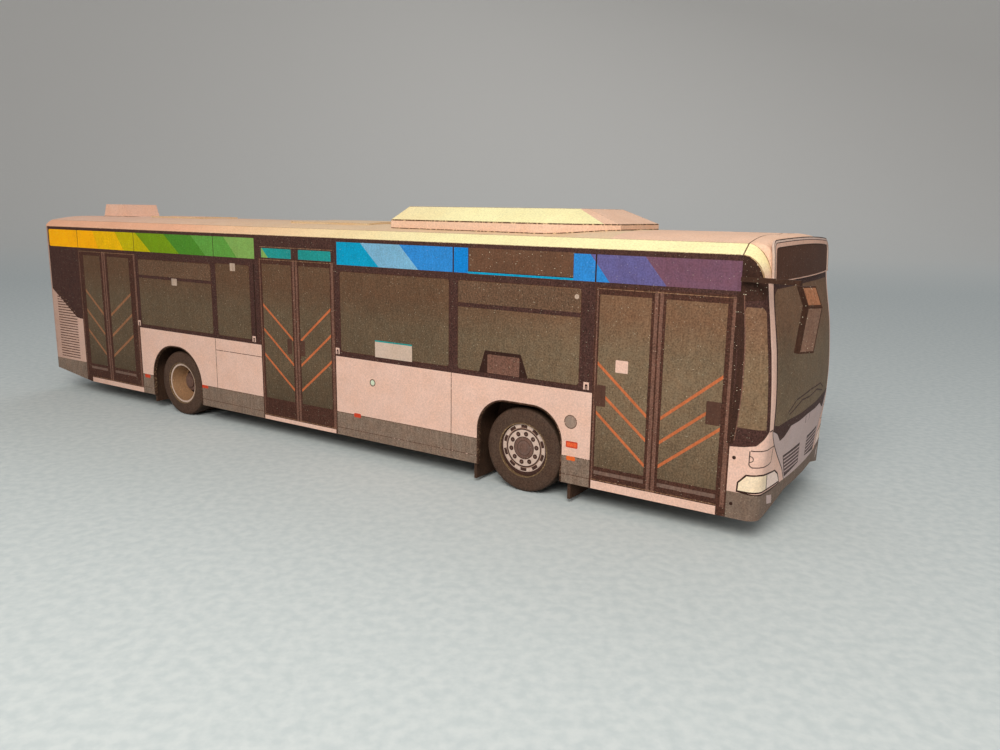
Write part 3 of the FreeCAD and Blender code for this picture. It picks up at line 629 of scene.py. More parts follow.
def join_parts(name, parts, smooth_angle=0):
    """Several solids as one piece."""
    labels = list(dict.fromkeys(label for part in parts for label in part[3]))
    points, faces, slots = [], [], []
    for part_points, part_faces, part_slots, names in parts:
        start = len(points)
        faces += [tuple(int(i) + start for i in f) for f in part_faces]
        slots += [labels.index(names[s]) for s in part_slots]
        points += [tuple(p) for p in part_points]
    return finish_mesh(name, points, faces, slots, labels, smooth_angle)


def mirror_part(part):
    """The same solid on the other side of the bus."""
    points, faces, slots, names = part
    flipped = np.array(points, float)
    flipped[:, 1] *= -1
    return flipped, [tuple(f)[::-1] for f in faces], slots, names


def dress(obj, body, slot, *nodes):
    """Hangs a finished piece on its body in place of its nodes."""
    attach(obj, body)
    if nodes:
        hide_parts(*nodes)


def upright_place(x, y, z, facing):
    """Puts a flat sheet upright along the bus, its origin at a place and its print facing one side."""
    def place(u, v):
        points = np.stack([u + x, np.full_like(u, y), v + z], axis=1)
        return points, np.tile((0.0, float(facing), 0.0), (len(u), 1))
    return place


# Sides

# Wheel arches: middle, half width, top and the radius of the shoulders
ARCHES = ((REAR_AXLE_U - 0.4, 6.35, 11.7, 5.75), (-0.35, 6.05, 11.55, 4.1))
ARCH_LINE_WIDTH = 0.24
BELT_Z = 14.3
TAIL_RISE = 1.4
TAIL_START_U = REAR_AXLE_U - 26.1
# Places past the wall's edges, to which a print runs on
PAST_REAR = -110.0
PAST_FRONT = 30.0
PAST_TOP = 40.0
# The band over the windows: its foot and head behind the display, and its foot ahead of it
BAND_LOW = 27.4
BAND_HIGH = 30.5
BAND_FRONT_LOW = 27.3


def arch_line(arch, grow):
    """A wheel arch from its rear foot to its front foot, moved outward by grow."""
    middle, half, top, radius = arch
    rear = arc(middle - half + radius, top - radius, radius + grow, 180, -90, 14)
    front = arc(middle + half - radius, top - radius, radius + grow, 90, -90, 14)
    return [(middle - half - grow, SKIRT_Z), *rear, *front, (middle + half + grow, SKIRT_Z)]


def side_outline():
    """The flat side, its foot rising behind the rear wheel, with the two arches cut out."""
    foot = arch_line(ARCHES[0], 0.0) + arch_line(ARCHES[1], 0.0)
    return [
        (SIDE_REAR_U, SKIRT_Z + TAIL_RISE), (TAIL_START_U, SKIRT_Z), *foot,
        (SIDE_FRONT_U, SKIRT_Z), (SIDE_FRONT_U, WALL_TOP_Z), (SIDE_REAR_U, WALL_TOP_Z),
    ]


def door_prints(left, right, middle, panes, glass_low, glass_high, sill, stripes, bar=True):
    """A two-leaf door: panes and their stripes, then the leaves' frames, a kick bar and the sill."""
    sill_left, sill_right, sill_low, sill_high = sill
    ink, width, *lines = stripes
    (first, second), (third, fourth) = panes
    head = glass_high + 0.95
    prints = boxes(("door black", left, SKIRT_Z - 1.0, right, head))
    for low, high in panes:
        prints += boxes(("glass", low, glass_low, high, glass_high))
        if bar:
            prints += boxes(("kick bar", low - 0.1, glass_low - 0.95, high + 0.1, glass_low - 0.5))
    prints += [(ink, stroke((u0, z0), (u1, z1), width)) for u0, z0, u1, z1 in lines]
    for u0, u1 in ((left, first), (second, third), (fourth, right)):
        prints += boxes(("door black", u0, sill_high, u1, head))
    for u0, u1 in (
        (left + 0.22, left + 0.4), (middle - 0.5, middle - 0.1), (middle + 0.1, middle + 0.5),
        (right - 0.68, right - 0.2),
    ):
        prints += boxes(("door frame", u0, sill_high, u1, head - 0.15))
    return prints + boxes(
        ("frame glint", left + 0.35, head - 0.32, right - 0.5, head - 0.24),
        ("frame glint", sill_left, sill_high + 0.12, sill_right, sill_high + 0.2),
        ("white", sill_left, sill_low - 0.5, sill_right, sill_high),
    )


def pane(ink, u0, z0, u1, z1, radius=0.35):
    """A window pane in a slightly darker surround."""
    surround = ("door black", u0 - 0.12, z0 - 0.12, u1 + 0.12, z1 + 0.12, radius + 0.1)
    return boxes(surround, (ink, u0, z0, u1, z1, radius))


def slants(low, high, end, *rows):
    """Strips that start on a slant, each from its ink and the places of its head and its foot, to an end."""
    return [(ink, [(foot, low), (end, low), (end, high), (head, high)]) for ink, head, foot in rows]


def band_seams(width, low, high, *places):
    """Dark upright seams across the band."""
    return boxes(*(("gasket", u - width, low, u + width, high) for u in places))


def strip_prints():
    """The coloured band over the windows, each colour starting on a slant."""
    end = -47.8
    prints = boxes(("amber strip", -104.45, BAND_LOW, end, BAND_HIGH, 0.3))
    prints += slants(
        BAND_LOW, BAND_HIGH, end,
        ("ochre strip", -90.2, -88.7), ("moss strip", -83.35, -81.1), ("leaf strip", -77.5, -73.5),
        ("green strip", -69.7, -65.9), ("meadow strip", -62.7, -59.25), ("pale green strip", -54.7, -51.75),
    )
    prints += band_seams(0.06, BAND_LOW, BAND_HIGH, -95.1, -78.1, -57.3)
    prints += boxes(("frame glint", -46.6, 29.25, -31.6, 29.33))
    prints += boxes(("teal strip", -46.25, BAND_LOW, -39.9, 29.1, 0.15))
    prints.append(("pale green strip", [(-46.2, 27.45), (-44.55, 27.45), (-46.05, 29.05), (-46.2, 29.05)]))
    prints += boxes(
        ("teal strip", -38.4, BAND_LOW, -31.9, 29.1, 0.15), ("cyan strip", -30.75, 27.35, -8.2, BAND_HIGH)
    )
    prints += slants(27.35, BAND_HIGH, -8.2, ("sky strip", -26.3, -23.0), ("blue strip", -19.4, -16.2))
    prints += boxes(
        ("clear blue strip", -10.4, 27.35, -8.2, BAND_HIGH),
        ("gasket", -10.6, 27.35, -10.4, BAND_HIGH),
        ("cyan strip", -8.2, BAND_FRONT_LOW, 6.8, 27.55),
        ("sign", -8.1, 27.65, 6.7, BAND_HIGH),
        ("blue strip", 6.75, BAND_FRONT_LOW, 26.3, 30.4),
    )
    prints += slants(BAND_FRONT_LOW, 30.4, 26.3, ("indigo strip", 8.85, 11.4), ("violet strip", 15.6, 18.2))
    return prints + boxes(("gasket", 9.53, BAND_FRONT_LOW, 9.72, 30.4))


def lower_prints():
    """White and grey below the windows, with seams, reflectors and caps, and black above them."""
    prints = boxes(
        ("skirt", PAST_REAR, -2.0, PAST_FRONT, 6.1),
        ("seam", PAST_REAR, 6.06, PAST_FRONT, 6.14),
        ("seam", -94.2, 3.76, PAST_FRONT, 3.84),
        ("seam", -10.8, 2.0, -10.7, BELT_Z),
        ("seam", -57.95, 6.1, -57.85, BELT_Z),
        ("seam", -57.9, 12.35, -47.0, 12.45),
    )
    for ink, u, z, radius in (
        ("seam", 7.0, 10.4, 0.86), ("flap grey", 7.0, 10.4, 0.76), ("seam", -24.4, 11.2, 0.52),
        ("mint", -24.4, 11.2, 0.38),
    ):
        prints.append((ink, disc(u, z, radius)))
    prints += boxes(
        ("reflector", 6.45, 7.2, 8.05, 8.0, 0.14),
        ("reflector glow", 6.6, 7.36, 7.9, 7.84, 0.1),
        ("marker", 6.55, 5.6, 7.2, 6.15, 0.2),
        ("marker", 7.12, 5.6, 7.78, 6.15, 0.2),
        ("reflector", -28.0, 5.75, -26.7, 6.35, 0.15),
        ("reflector", -77.4, 5.5, -75.9, 6.1, 0.2),
        ("reflector", -62.0, 5.65, -60.3, 6.15, 0.2),
        ("black", PAST_REAR, BELT_Z, PAST_FRONT, PAST_TOP),
    )
    prints.append(("white", [
        (PAST_REAR, 5.0), (-94.2, 5.0), (-94.4, 6.2), (-95.35, 14.2), (-97.3, 14.45), (-104.9, 19.45),
        (PAST_REAR, 19.8),
    ]))
    return prints + boxes(("skirt", PAST_REAR, 1.0, -94.2, 6.15))


def lock_mark(u, z):
    """A tiny printed catch at the belt line."""
    return boxes(
        ("white", u - 0.36, z - 0.45, u + 0.36, z + 0.45),
        ("gasket", u - 0.17, z - 0.45, u - 0.03, z + 0.1, 0.05),
        ("gasket", u - 0.17, z - 0.02, u + 0.17, z + 0.2, 0.09),
        ("gasket", u + 0.03, z - 0.45, u + 0.17, z + 0.1, 0.05),
    )


def right_side_prints():
    """The door side, from the rear louvre to the front door."""
    prints = lower_prints() + strip_prints()
    prints += door_prints(
        -95.4, -77.9, -87.45, ((-93.7, -88.6), (-86.3, -80.0)), 6.2, 26.1, (-93.7, -78.0, 2.9, 3.55),
        (
            "faded stripe", 0.4, (-94.0, 20.0, -88.4, 15.6), (-94.0, 16.4, -88.4, 11.9),
            (-94.0, 12.7, -88.4, 8.2),
            (-79.8, 20.0, -86.5, 15.6), (-79.8, 16.4, -86.5, 11.9), (-79.8, 12.7, -86.5, 8.2),
        ),
    )
    prints += pane("glass", -77.2, 14.95, -58.25, 26.1)
    prints += boxes(
        ("black", -77.2, 22.95, -58.25, 23.45),
        ("faint glass", -77.1, 23.45, -58.35, 26.0, 0.3),
        ("pale mark", -68.3, 22.15, -66.9, 23.3, 0.15),
    )
    prints += pane("glass", -56.95, 14.95, -49.15, 26.3)
    prints += boxes(("pale mark", -53.5, 25.3, -52.3, 26.5, 0.1), ("gasket", -48.2, 15.0, -47.9, 26.6))
    prints += door_prints(
        -47.0, -31.3, -39.2, ((-46.2, -40.0), (-38.4, -32.2)), 6.2, 26.75, (-46.8, -31.6, 2.7, 3.3),
        (
            "stripe", 0.33, (-46.6, 20.9, -39.8, 15.6), (-46.6, 17.15, -39.8, 11.8),
            (-46.6, 13.3, -39.8, 7.95),
            (-31.8, 21.2, -38.7, 15.5), (-31.8, 17.4, -38.7, 11.8), (-31.8, 13.6, -38.7, 8.0),
        ), False,
    )
    prints += boxes(*(("handle", u - 0.5, 13.5, u + 0.5, 15.8, 0.15) for u in (-40.75, -38.0)))
    prints += pane("glass", -30.2, 15.1, -11.2, 26.4)
    prints += boxes(("teal strip", -23.85, 17.05, -17.3, 17.3), ("label", -23.85, 14.95, -17.3, 17.1))
    prints += pane("glass", -9.7, 15.0, 7.85, 26.4)
    prints += boxes(("black", -9.7, 23.05, 7.85, 23.6), ("faint glass", -9.6, 23.6, 7.75, 26.3, 0.3))
    prints.append(("gasket", [(-6.4, 14.9), (-5.5, 17.8), (-0.2, 17.8), (0.9, 14.9)]))
    prints += boxes(("door frame", -5.1, 14.95, -0.35, 17.35, 0.15))
    prints.append(("pale mark", disc(7.3, 25.45, 0.3, 10)))
    for u in (-78.0, -48.6, -30.95, 8.9):
        prints += lock_mark(u, BELT_Z + 0.75)
    prints += door_prints(
        9.7, 26.3, 17.45, ((10.3, 16.6), (18.3, 25.1)), 5.5, 25.9, (9.95, 25.2, 2.7, 3.7),
        (
            "stripe", 0.33, (10.0, 18.2, 16.8, 12.35), (11.0, 14.35, 16.8, 9.55), (10.0, 12.35, 16.8, 6.55),
            (25.4, 18.35, 18.0, 12.3), (24.0, 14.3, 18.0, 9.5), (25.4, 12.6, 18.0, 6.7),
        ),
    )
    return prints + boxes(
        ("handle", 10.0, 12.85, 11.45, 15.4, 0.15),
        ("handle", 23.45, 12.7, 25.1, 15.3, 0.15),
        ("white", 12.55, 17.1, 14.1, 18.55, 0.1),
        ("corner black", 25.95, 11.0, 26.4, 27.3),
    )


def left_side_prints():
    """The driver's side: a row of windows over white and grey, in the same inks."""
    end = 25.2
    prints = lower_prints() + boxes(("amber strip", -104.45, BAND_LOW, end, BAND_HIGH, 0.3))
    prints += slants(BAND_LOW, BAND_HIGH, end, *((ink, head, head + 3.0) for ink, head in (
        ("ochre strip", -90.2), ("moss strip", -83.4), ("leaf strip", -77.5), ("green strip", -69.7),
        ("meadow strip", -62.7), ("pale green strip", -54.7), ("teal strip", -44.0), ("cyan strip", -30.8),
        ("sky strip", -22.0), ("blue strip", -15.0), ("indigo strip", 3.0), ("violet strip", 12.0),
    )))
    prints += band_seams(0.06, BAND_LOW, BAND_HIGH, -95.1, -78.1, -57.3, -31.3, -10.5, 9.6)
    for u0, u1, bar in (
        (-94.4, -78.9, True), (-77.2, -58.2, False), (-56.9, -31.9, True), (-30.2, -11.2, True),
        (-9.7, 7.9, False),
    ):
        prints += pane("glass", u0, 15.0, u1, 26.3)
        if bar:
            prints += boxes(("black", u0, 23.05, u1, 23.6))
            prints += boxes(("faint glass", u0 + 0.1, 23.6, u1 - 0.1, 26.2, 0.3))
    prints += boxes(("black", 9.7, 12.0, PAST_FRONT, BELT_Z + 0.1))
    prints += pane("glass", 10.3, 12.7, 25.4, 26.0, 0.8)
    return prints + boxes(("gasket", 17.9, 12.7, 18.2, 26.0), ("seam", 9.75, 2.0, 9.85, BELT_Z))


def instance_tree(name, inputs, spread):
    """A geometry tree that sets out copies of a mark; spread gives its points, its mark and its changes."""
    inputs = {**inputs, "Ink": ("Material", None)}
    tree, source, sink = new_tree(name, "Geometry", inputs, {"Geometry": "Geometry"})
    points, mark, changes, finish = spread(tree, source)
    copies = add_node(tree, "GeometryNodeInstanceOnPoints", {"Points": points, "Instance": mark, **changes})
    real = add_node(tree, "GeometryNodeRealizeInstances", {"Geometry": copies.outputs["Instances"]})
    placed = finish(real.outputs["Geometry"])
    painted = add_node(tree, "GeometryNodeSetMaterial", {"Geometry": placed, "Material": source["Ink"]})
    fill(tree, sink["Geometry"], painted.outputs["Geometry"])
    return tree


def triple(tree, **parts):
    """Three values as one vector."""
    return add_node(tree, "ShaderNodeCombineXYZ", parts).outputs[0]


def moved_by(tree, geometry, **change):
    """Geometry shifted or turned."""
    return add_node(tree, "GeometryNodeTransform", {"Geometry": geometry, **change}).outputs["Geometry"]


def louvre_spread(tree, source):
    """A column of slats whose upper ones are cut shorter along a slant."""
    offset = triple(tree, Z=source["Pitch"])
    column = add_node(tree, "GeometryNodeMeshLine", {"Count": source["Slats"], "Offset": offset})
    size = triple(tree, X=source["Length"], Y=source["Depth"], Z=source["Slat height"])
    slat = add_node(tree, "GeometryNodeMeshCube", {"Size": size}).outputs["Mesh"]
    shift = triple(tree, X=math_node(tree, "MULTIPLY", source["Length"], 0.5))
    row = tree.nodes.new("GeometryNodeInputIndex").outputs[0]
    over = math_node(tree, "SUBTRACT", row, source["Full rows"])
    left = math_node(tree, "SUBTRACT", source["Slats"], source["Full rows"])
    share = math_node(tree, "MAXIMUM", math_node(tree, "DIVIDE", over, left), 0.0)
    short = math_node(tree, "SUBTRACT", 1.0, source["Shortest"])
    length = math_node(tree, "SUBTRACT", 1.0, math_node(tree, "MULTIPLY", share, short))
    changes = {"Scale": triple(tree, X=length, Y=1.0, Z=1.0)}
    return column.outputs["Mesh"], moved_by(tree, slat, Translation=shift), changes, lambda geometry: geometry


def ring_spread(tree, source):
    """Round marks set evenly in a ring."""
    inputs = {"Vertices": source["Count"], "Radius": source["Ring radius"]}
    ring = add_node(tree, "GeometryNodeMeshCircle", inputs).outputs["Mesh"]
    inputs = {"Vertices": 14, "Radius": 1.0, "Depth": source["Depth"]}
    mark = add_node(tree, "GeometryNodeMeshCylinder", inputs).outputs["Mesh"]
    index = tree.nodes.new("GeometryNodeInputIndex").outputs[0]
    step = math_node(tree, "DIVIDE", 2 * math.pi, source["Count"])
    changes = {
        "Rotation": triple(tree, Z=math_node(tree, "MULTIPLY", index, step)),
        "Scale": triple(tree, X=source["Mark width"], Y=source["Mark length"], Z=1.0),
    }
    turn = triple(tree, Z=source["Turn"])
    return ring, mark, changes, lambda geometry: moved_by(tree, geometry, Rotation=turn)


# What a tree of slats or of marks takes in, with its sizes in metres, and how it sets its copies out
TREES = {
    "Slat rows": ({
        "Slats": ("Int", 26), "Pitch": ("Float", 0.0005), "Length": ("Float", 0.006),
        "Slat height": ("Float", 0.0002),
        "Depth": ("Float", 0.00003), "Full rows": ("Int", 17), "Shortest": ("Float", 0.1),
    }, louvre_spread),
    "Ring of marks": ({
        "Count": ("Int", 10), "Ring radius": ("Float", 0.002), "Mark width": ("Float", 0.0002),
        "Mark length": ("Float", 0.0002), "Depth": ("Float", 0.00003), "Turn": ("Float", 0.0),
    }, ring_spread),
}


def grown(name, kind, matrix, values):
    """A plain mesh object grown from a node tree, with its place moved into its mesh."""
    tree = bpy.data.node_groups.get(kind) or instance_tree(kind, *TREES[kind])
    seed_mesh = bpy.data.meshes.new(name + " seed")
    seed = in_scene(name + " seed", seed_mesh)
    modifier = seed.modifiers.new("Rows", "NODES")
    modifier.node_group = tree
    for socket in tree.interface.items_tree:
        if socket.in_out == "INPUT" and socket.name in values:
            modifier[socket.identifier] = values[socket.name]
    bpy.context.view_layer.update()
    graph = bpy.context.evaluated_depsgraph_get()
    mesh = bpy.data.meshes.new_from_object(seed.evaluated_get(graph))
    seed.modifiers.remove(modifier)
    bpy.data.objects.remove(seed)
    bpy.data.meshes.remove(seed_mesh)
    mesh.name = name
    mesh.transform(matrix)
    if matrix.determinant() < 0:
        mesh.flip_normals()
    mesh.update()
    return in_scene(name, mesh)


def edge_rule(spot):
    """Ink on the arches' cut edges, bare card elsewhere."""
    over_wheel = any(
        abs(spot[0] - middle) < half + 0.01 and spot[1] < top + 0.1 for middle, half, top, _ in ARCHES
    )
    return "inked edge" if over_wheel else "edge"


class BuildSides(bpy.types.Operator):
    """Prints and cuts the two side walls, with the slats of the engine's air intake"""

    bl_idname = "card_bus.sides"
    bl_label = "Side walls"

    def execute(self, context):
        settings = mix_up(context)
        rims = []
        for arch in ARCHES:
            rims += path_strokes("arch line", arch_line(arch, 0.1), ARCH_LINE_WIDTH)
        slats = {
            "Slats": 26, "Pitch": 0.00049, "Length": 0.0061, "Slat height": 0.00016, "Full rows": 17,
            "Shortest": 0.1, "Ink": INKS["seam"],
        }
        for side, prints, label in ((-1, right_side_prints(), "right"), (1, left_side_prints(), "left")):
            obj = card_piece(
                f"side_skin_{label}", side_outline(), prints + rims,
                upright_place(FRONT_AXLE_X, side * HALF_WIDTH, 0.0, side), settings.card / MM,
                edge_rule=edge_rule,
            )
            dress(obj, "body", "side_print", f"side_wall_{label}")
            foot = Vector((FRONT_AXLE_X - 103.4, side * (HALF_WIDTH + 0.005), 6.7)) * MM
            obj = grown(f"side_louvre_{label}", "Slat rows", Matrix.Translation(foot), slats)
            dress(obj, "body", "side_print")
        return {"FINISHED"}


# Roof

ROOF_EDGE_Z = 32.15
COVING_WIDTH = 1.8
CROWN_EDGE = HALF_WIDTH - COVING_WIDTH
HATCH_RISE = 0.25


def roof_profile():
    """The roof's cross-section as evenly spaced points (y, z), with the run along it."""
    knots_y = np.array([0.0, 0.4, 0.735, 0.87, 1.0]) * CROWN_EDGE
    knots_z = ROOF_EDGE_Z + (CROWN_Z - ROOF_EDGE_Z) * np.array([1.0, 0.92, 0.66, 0.37, 0.0])
    y = np.linspace(0, CROWN_EDGE, 60)
    z = np.polyval(np.polyfit(knots_y, knots_z, 4), y)
    z = np.minimum(z - (z[-1] - ROOF_EDGE_Z), CROWN_Z)
    y, z = np.append(y, HALF_WIDTH), np.append(z, WALL_TOP_Z)
    return y, z, np.concatenate([[0], np.cumsum(np.hypot(np.diff(y), np.diff(z)))])


PROFILE_Y, PROFILE_Z, PROFILE_RUN = roof_profile()
ROOF_RUN = PROFILE_RUN[-1]
FOLD_RUN = PROFILE_RUN[-2]


def roof_height(y):
    """The roof's outer height at a width."""
    return np.interp(np.abs(y), PROFILE_Y, PROFILE_Z)


def roof_spot(run):
    """(y, z, normal y, normal z) at a run across the roof, negative on the door side."""
    reach = np.abs(run)
    side = np.sign(run)
    y = np.interp(reach, PROFILE_RUN, PROFILE_Y)
    z = np.interp(reach, PROFILE_RUN, PROFILE_Z)
    slope = np.gradient(PROFILE_Z, PROFILE_Y)
    slope[-1] = (PROFILE_Z[-1] - PROFILE_Z[-2]) / (PROFILE_Y[-1] - PROFILE_Y[-2])
    tilt = np.interp(reach, PROFILE_RUN, slope)
    size = np.sqrt(1 + tilt ** 2)
    return y * side, z, -tilt / size * side, 1 / size


def roof_place(lift):
    """Lays a sheet over the roof, raised by lift. The sheet runs along x and across the roof."""
    def place(u, run):
        y, z, ny, nz = roof_spot(run)
        points = np.stack([u + FRONT_AXLE_X, y + ny * lift, z + nz * lift], axis=1)
        normal = np.stack([np.zeros_like(u), ny, nz], axis=1)
        return points, normal
    return place


def rear_plan_u(y):
    """How far back the body reaches at a width, round its corners."""
    over = np.abs(y) - (HALF_WIDTH - REAR_CORNER)
    if over <= 0:
        return REAR_U
    return REAR_U + REAR_CORNER - math.sqrt(max(0.0, REAR_CORNER ** 2 - over ** 2))


def roof_bends(u0, u1, limit):
    """Lines along the roof at which its sheet bends."""
    runs = [r for r in np.arange(-16, 16.1, 0.8) if abs(r) < min(limit, FOLD_RUN) - 0.3]
    runs += [s * FOLD_RUN for s in (-1, 1) if FOLD_RUN < limit]
    return [[(u0, r), (u1, r)] for r in runs]


def run_at(y):
    """The run across the roof that reaches a width."""
    return float(np.interp(abs(y), PROFILE_Y, PROFILE_RUN))


def rear_spot(run):
    """A place of the roof's rear edge at a run."""
    return (rear_plan_u(float(roof_spot(np.array([run]))[0][0])), run)


def build_roof_skin(card):
    """The long roof sheet with its two folds."""
    runs = [ROOF_RUN * step / 24 for step in range(-24, 25)]
    for turn in range(0, 91, 10):
        run = run_at(HALF_WIDTH - REAR_CORNER * (1 - math.sin(math.radians(turn))))
        runs += [-run, run]
    rear = sorted({rear_spot(run) for run in runs}, key=lambda p: -p[1])
    outline = [(SIDE_FRONT_U, -ROOF_RUN), (SIDE_FRONT_U, ROOF_RUN), *rear]
    prints = boxes(("dome", SIDE_FRONT_U - 16.0, -ROOF_RUN, SIDE_FRONT_U, ROOF_RUN))
    for side in (-1, 1):
        run0, run1 = sorted((side * FOLD_RUN, side * (ROOF_RUN + 0.1)))
        # The coving strip carries the painted highlight of the light on the roof's sloping edge.
        prints += boxes(("coving", REAR_U - 1, run0, SIDE_FRONT_U, run1))
        for run in (FOLD_RUN, ROOF_RUN - 0.05):
            prints.append(("fold", stroke((REAR_U, side * run), (SIDE_FRONT_U, side * run), 0.08)))
    prints += boxes(("roof seam", SIDE_FRONT_U - 0.09, -ROOF_RUN, SIDE_FRONT_U, ROOF_RUN))
    obj = card_piece(
        "roof_sheet", outline, prints, roof_place(0.0), card, base="roof",
        bends=roof_bends(REAR_U, SIDE_FRONT_U, ROOF_RUN), smooth_angle=12,
    )
    dress(obj, "body", "roof_card", "roof_skin")


def build_hatch(name, node):
    """A thin lid on the crown, edged by a pen line."""
    low, high = node_box(node)
    u0, u1 = low.x - FRONT_AXLE_X, high.x - FRONT_AXLE_X
    reach = run_at(high.y)

    def inset(ink, margin, radius=0.0):
        return (ink, rectangle(u0 + margin, margin - reach, u1 - margin, reach - margin, radius))

    prints = [inset("fold", 0.0), inset("roof", 0.1), inset("fold", 0.9, 0.4), inset("roof", 0.98, 0.4)]
    obj = card_piece(
        name, prints[0][1], prints, roof_place(HATCH_RISE), HATCH_RISE + 0.02, base="roof",
        bends=roof_bends(u0, u1, reach), smooth_angle=12,
    )
    dress(obj, "body", "roof_card", node)


# How wide the bare ink reaches along an edge that has no line of its own
PLAIN_EDGE = 0.03


def folded_faces(points, loops, inks, lines):
    """Flat faces of a folded form, each with pen lines of some width along chosen edges."""
    made_points, made_faces, labels = [tuple(p) for p in points], [], []
    for number, loop in enumerate(loops):
        corners = [Vector(points[i]) for i in loop]
        count = len(corners)
        widths = [lines.get((number, i), (PLAIN_EDGE, None)) for i in range(count)]
        start = len(made_points)
        for i, here in enumerate(corners):
            back = (corners[i - 1] - here).normalized()
            ahead = (corners[(i + 1) % count] - here).normalized()
            lean = math.sin(back.angle(ahead))
            made_points.append(tuple(here + back * (widths[i][0] / lean) + ahead * (widths[i - 1][0] / lean)))
            j = (i + 1) % count
            made_faces.append((loop[i], loop[j], start + j, start + i))
            labels.append(widths[i][1] or inks[number])
        made_faces.append(tuple(range(start, start + count)))
        labels.append(inks[number])
    return made_points, made_faces, labels


def lined_solid(name, points, loops, inks, lines, smooth_angle=0):
    """A closed folded form with pen lines along chosen edges."""
    made_points, made_faces, labels = folded_faces(points, loops, inks, lines)
    names = sorted(set(labels))
    slots = [names.index(label) for label in labels]
    return finish_mesh(name, np.array(made_points), made_faces, slots, names, smooth_angle)


# The pod seen from above: its foot and the flat top of its lid
POD_REAR_U = -23.9
POD_HIP_U = 3.0
POD_FRONT_U = 8.45
POD_EDGE = HALF_WIDTH - 3.75
POD_HIP_FLARE = 0.8
POD_NOSE_HALF = 6.0
POD_TOP_EDGE = POD_EDGE - 2.4
POD_TOP_NOSE_HALF = 5.2
POD_CURVE = 6


def pod_outline(rear, hip, front, edge, hip_edge, nose_half):
    """A long outline, straight behind and curving in from the hips to the narrow nose."""
    start = (hip - 4.0, edge + (hip_edge - edge) * (hip - 4.0 - rear) / (hip - rear))
    pull = (hip + 1.6, hip_edge + 0.3)
    half = [(rear, edge)]
    for t in np.linspace(0, 1, POD_CURVE + 1):
        weights = ((1 - t) ** 2, 2 * t * (1 - t), t ** 2)
        spots = (start, pull, (front, nose_half))
        half.append(tuple(sum(w * spot[i] for w, spot in zip(weights, spots)) for i in (0, 1)))
    return [(u, -y) for u, y in half] + half[::-1]


def box_loops(count):
    """The faces of a prism between two outlines of the same count: sides, head and foot."""
    loops = [(i, (i + 1) % count, (i + 1) % count + count, i + count) for i in range(count)]
    return [*loops, tuple(range(count, 2 * count)), tuple(reversed(range(count)))]


def raised(outline, z):
    """An outline at a height."""
    return [(u + FRONT_AXLE_X, y, z) for u, y in outline]


def on_roof(outline):
    """An outline that stands on the roof, sunk a little into it."""
    return [(u + FRONT_AXLE_X, y, float(roof_height(y)) - 0.02) for u, y in outline]


def build_pod():
    """The roof pod: an upright band and a hipped lid with a rough glue line between them, and a painted
    contact shadow along the band's foot.
    """
    cap_low, cap_high = node_box("pod_cap")
    foot = pod_outline(POD_REAR_U, POD_HIP_U, POD_FRONT_U, POD_EDGE, POD_EDGE + POD_HIP_FLARE, POD_NOSE_HALF)
    top = pod_outline(
        POD_REAR_U + 1.4, POD_HIP_U - 2.4, POD_FRONT_U - 4.95, POD_TOP_EDGE, POD_TOP_EDGE, POD_TOP_NOSE_HALF
    )
    count = len(foot)
    loops = box_loops(count)
    points = on_roof(foot) + raised(foot, node_box("pod_band")[1].z)
    lines = {}
    for i in range(count):
        # The line along the band's foot is painted contact shadow on the roof; the one along its head is the
        # glue seam.
        lines[i, 0] = (0.14, "rough seam")
        lines[i, 2] = (0.1, "rough seam")
    band = lined_solid("pod_band_card", points, loops, ["dome"] * count + ["roof"] * 2, lines, 14)
    dress(band, "body", "roof_card", "pod_band")
    lines = {}
    for i in range(count):
        lines[i, 0] = (0.12, "rough seam")
        lines[i, 2] = (0.06, "fold")
    nose = POD_CURVE + 1
    lines[nose, 1] = lines[nose, 3] = (0.06, "fold")
    # The lid's sloping sides take the coving's painted highlight; the facets round the nose stay plain.
    flank = ["coving"] * POD_CURVE + ["dome"]
    inks = flank + ["dome"] + flank[::-1] + ["roof"] * 3
    points = raised(foot, cap_low.z + 0.01) + raised(top, cap_high.z)
    cap = lined_solid("pod_lid_card", points, loops, inks, lines, 14)
    dress(cap, "body", "roof_card", "pod_cap")


def build_rear_box():
    """The small tapered box at the rear of the roof."""
    u0, u1, half, taper = REAR_U + 3.0, REAR_U + 9.1, 4.0, 0.35
    points = on_roof(rectangle(u0, -half, u1, half))
    top = rectangle(u0 + taper, taper - half, u1 - taper, half - taper)
    points += raised(top, node_box("rear_roof_box")[1].z)
    lines = {(i, 0): (0.08, "roof seam") for i in range(4)}
    box = lined_solid("rear_box_card", points, box_loops(4), ["roof"] * 6, lines)
    dress(box, "body", "roof_card", "rear_roof_box")


class BuildRoof(bpy.types.Operator):
    """Folds the roof and sets the pod, the hatches and the rear box on it"""

    bl_idname = "card_bus.roof"
    bl_label = "Roof"

    def execute(self, context):
        settings = mix_up(context)
        build_roof_skin(settings.card / MM)
        build_hatch("hatch_card_rear", "roof_hatch_rear")
        build_hatch("hatch_card_middle", "roof_hatch_middle")
        build_pod()
        build_rear_box()
        return {"FINISHED"}


# Rear

REAR_FLAT = HALF_WIDTH - REAR_CORNER
REAR_BEND = REAR_CORNER * math.pi / 2


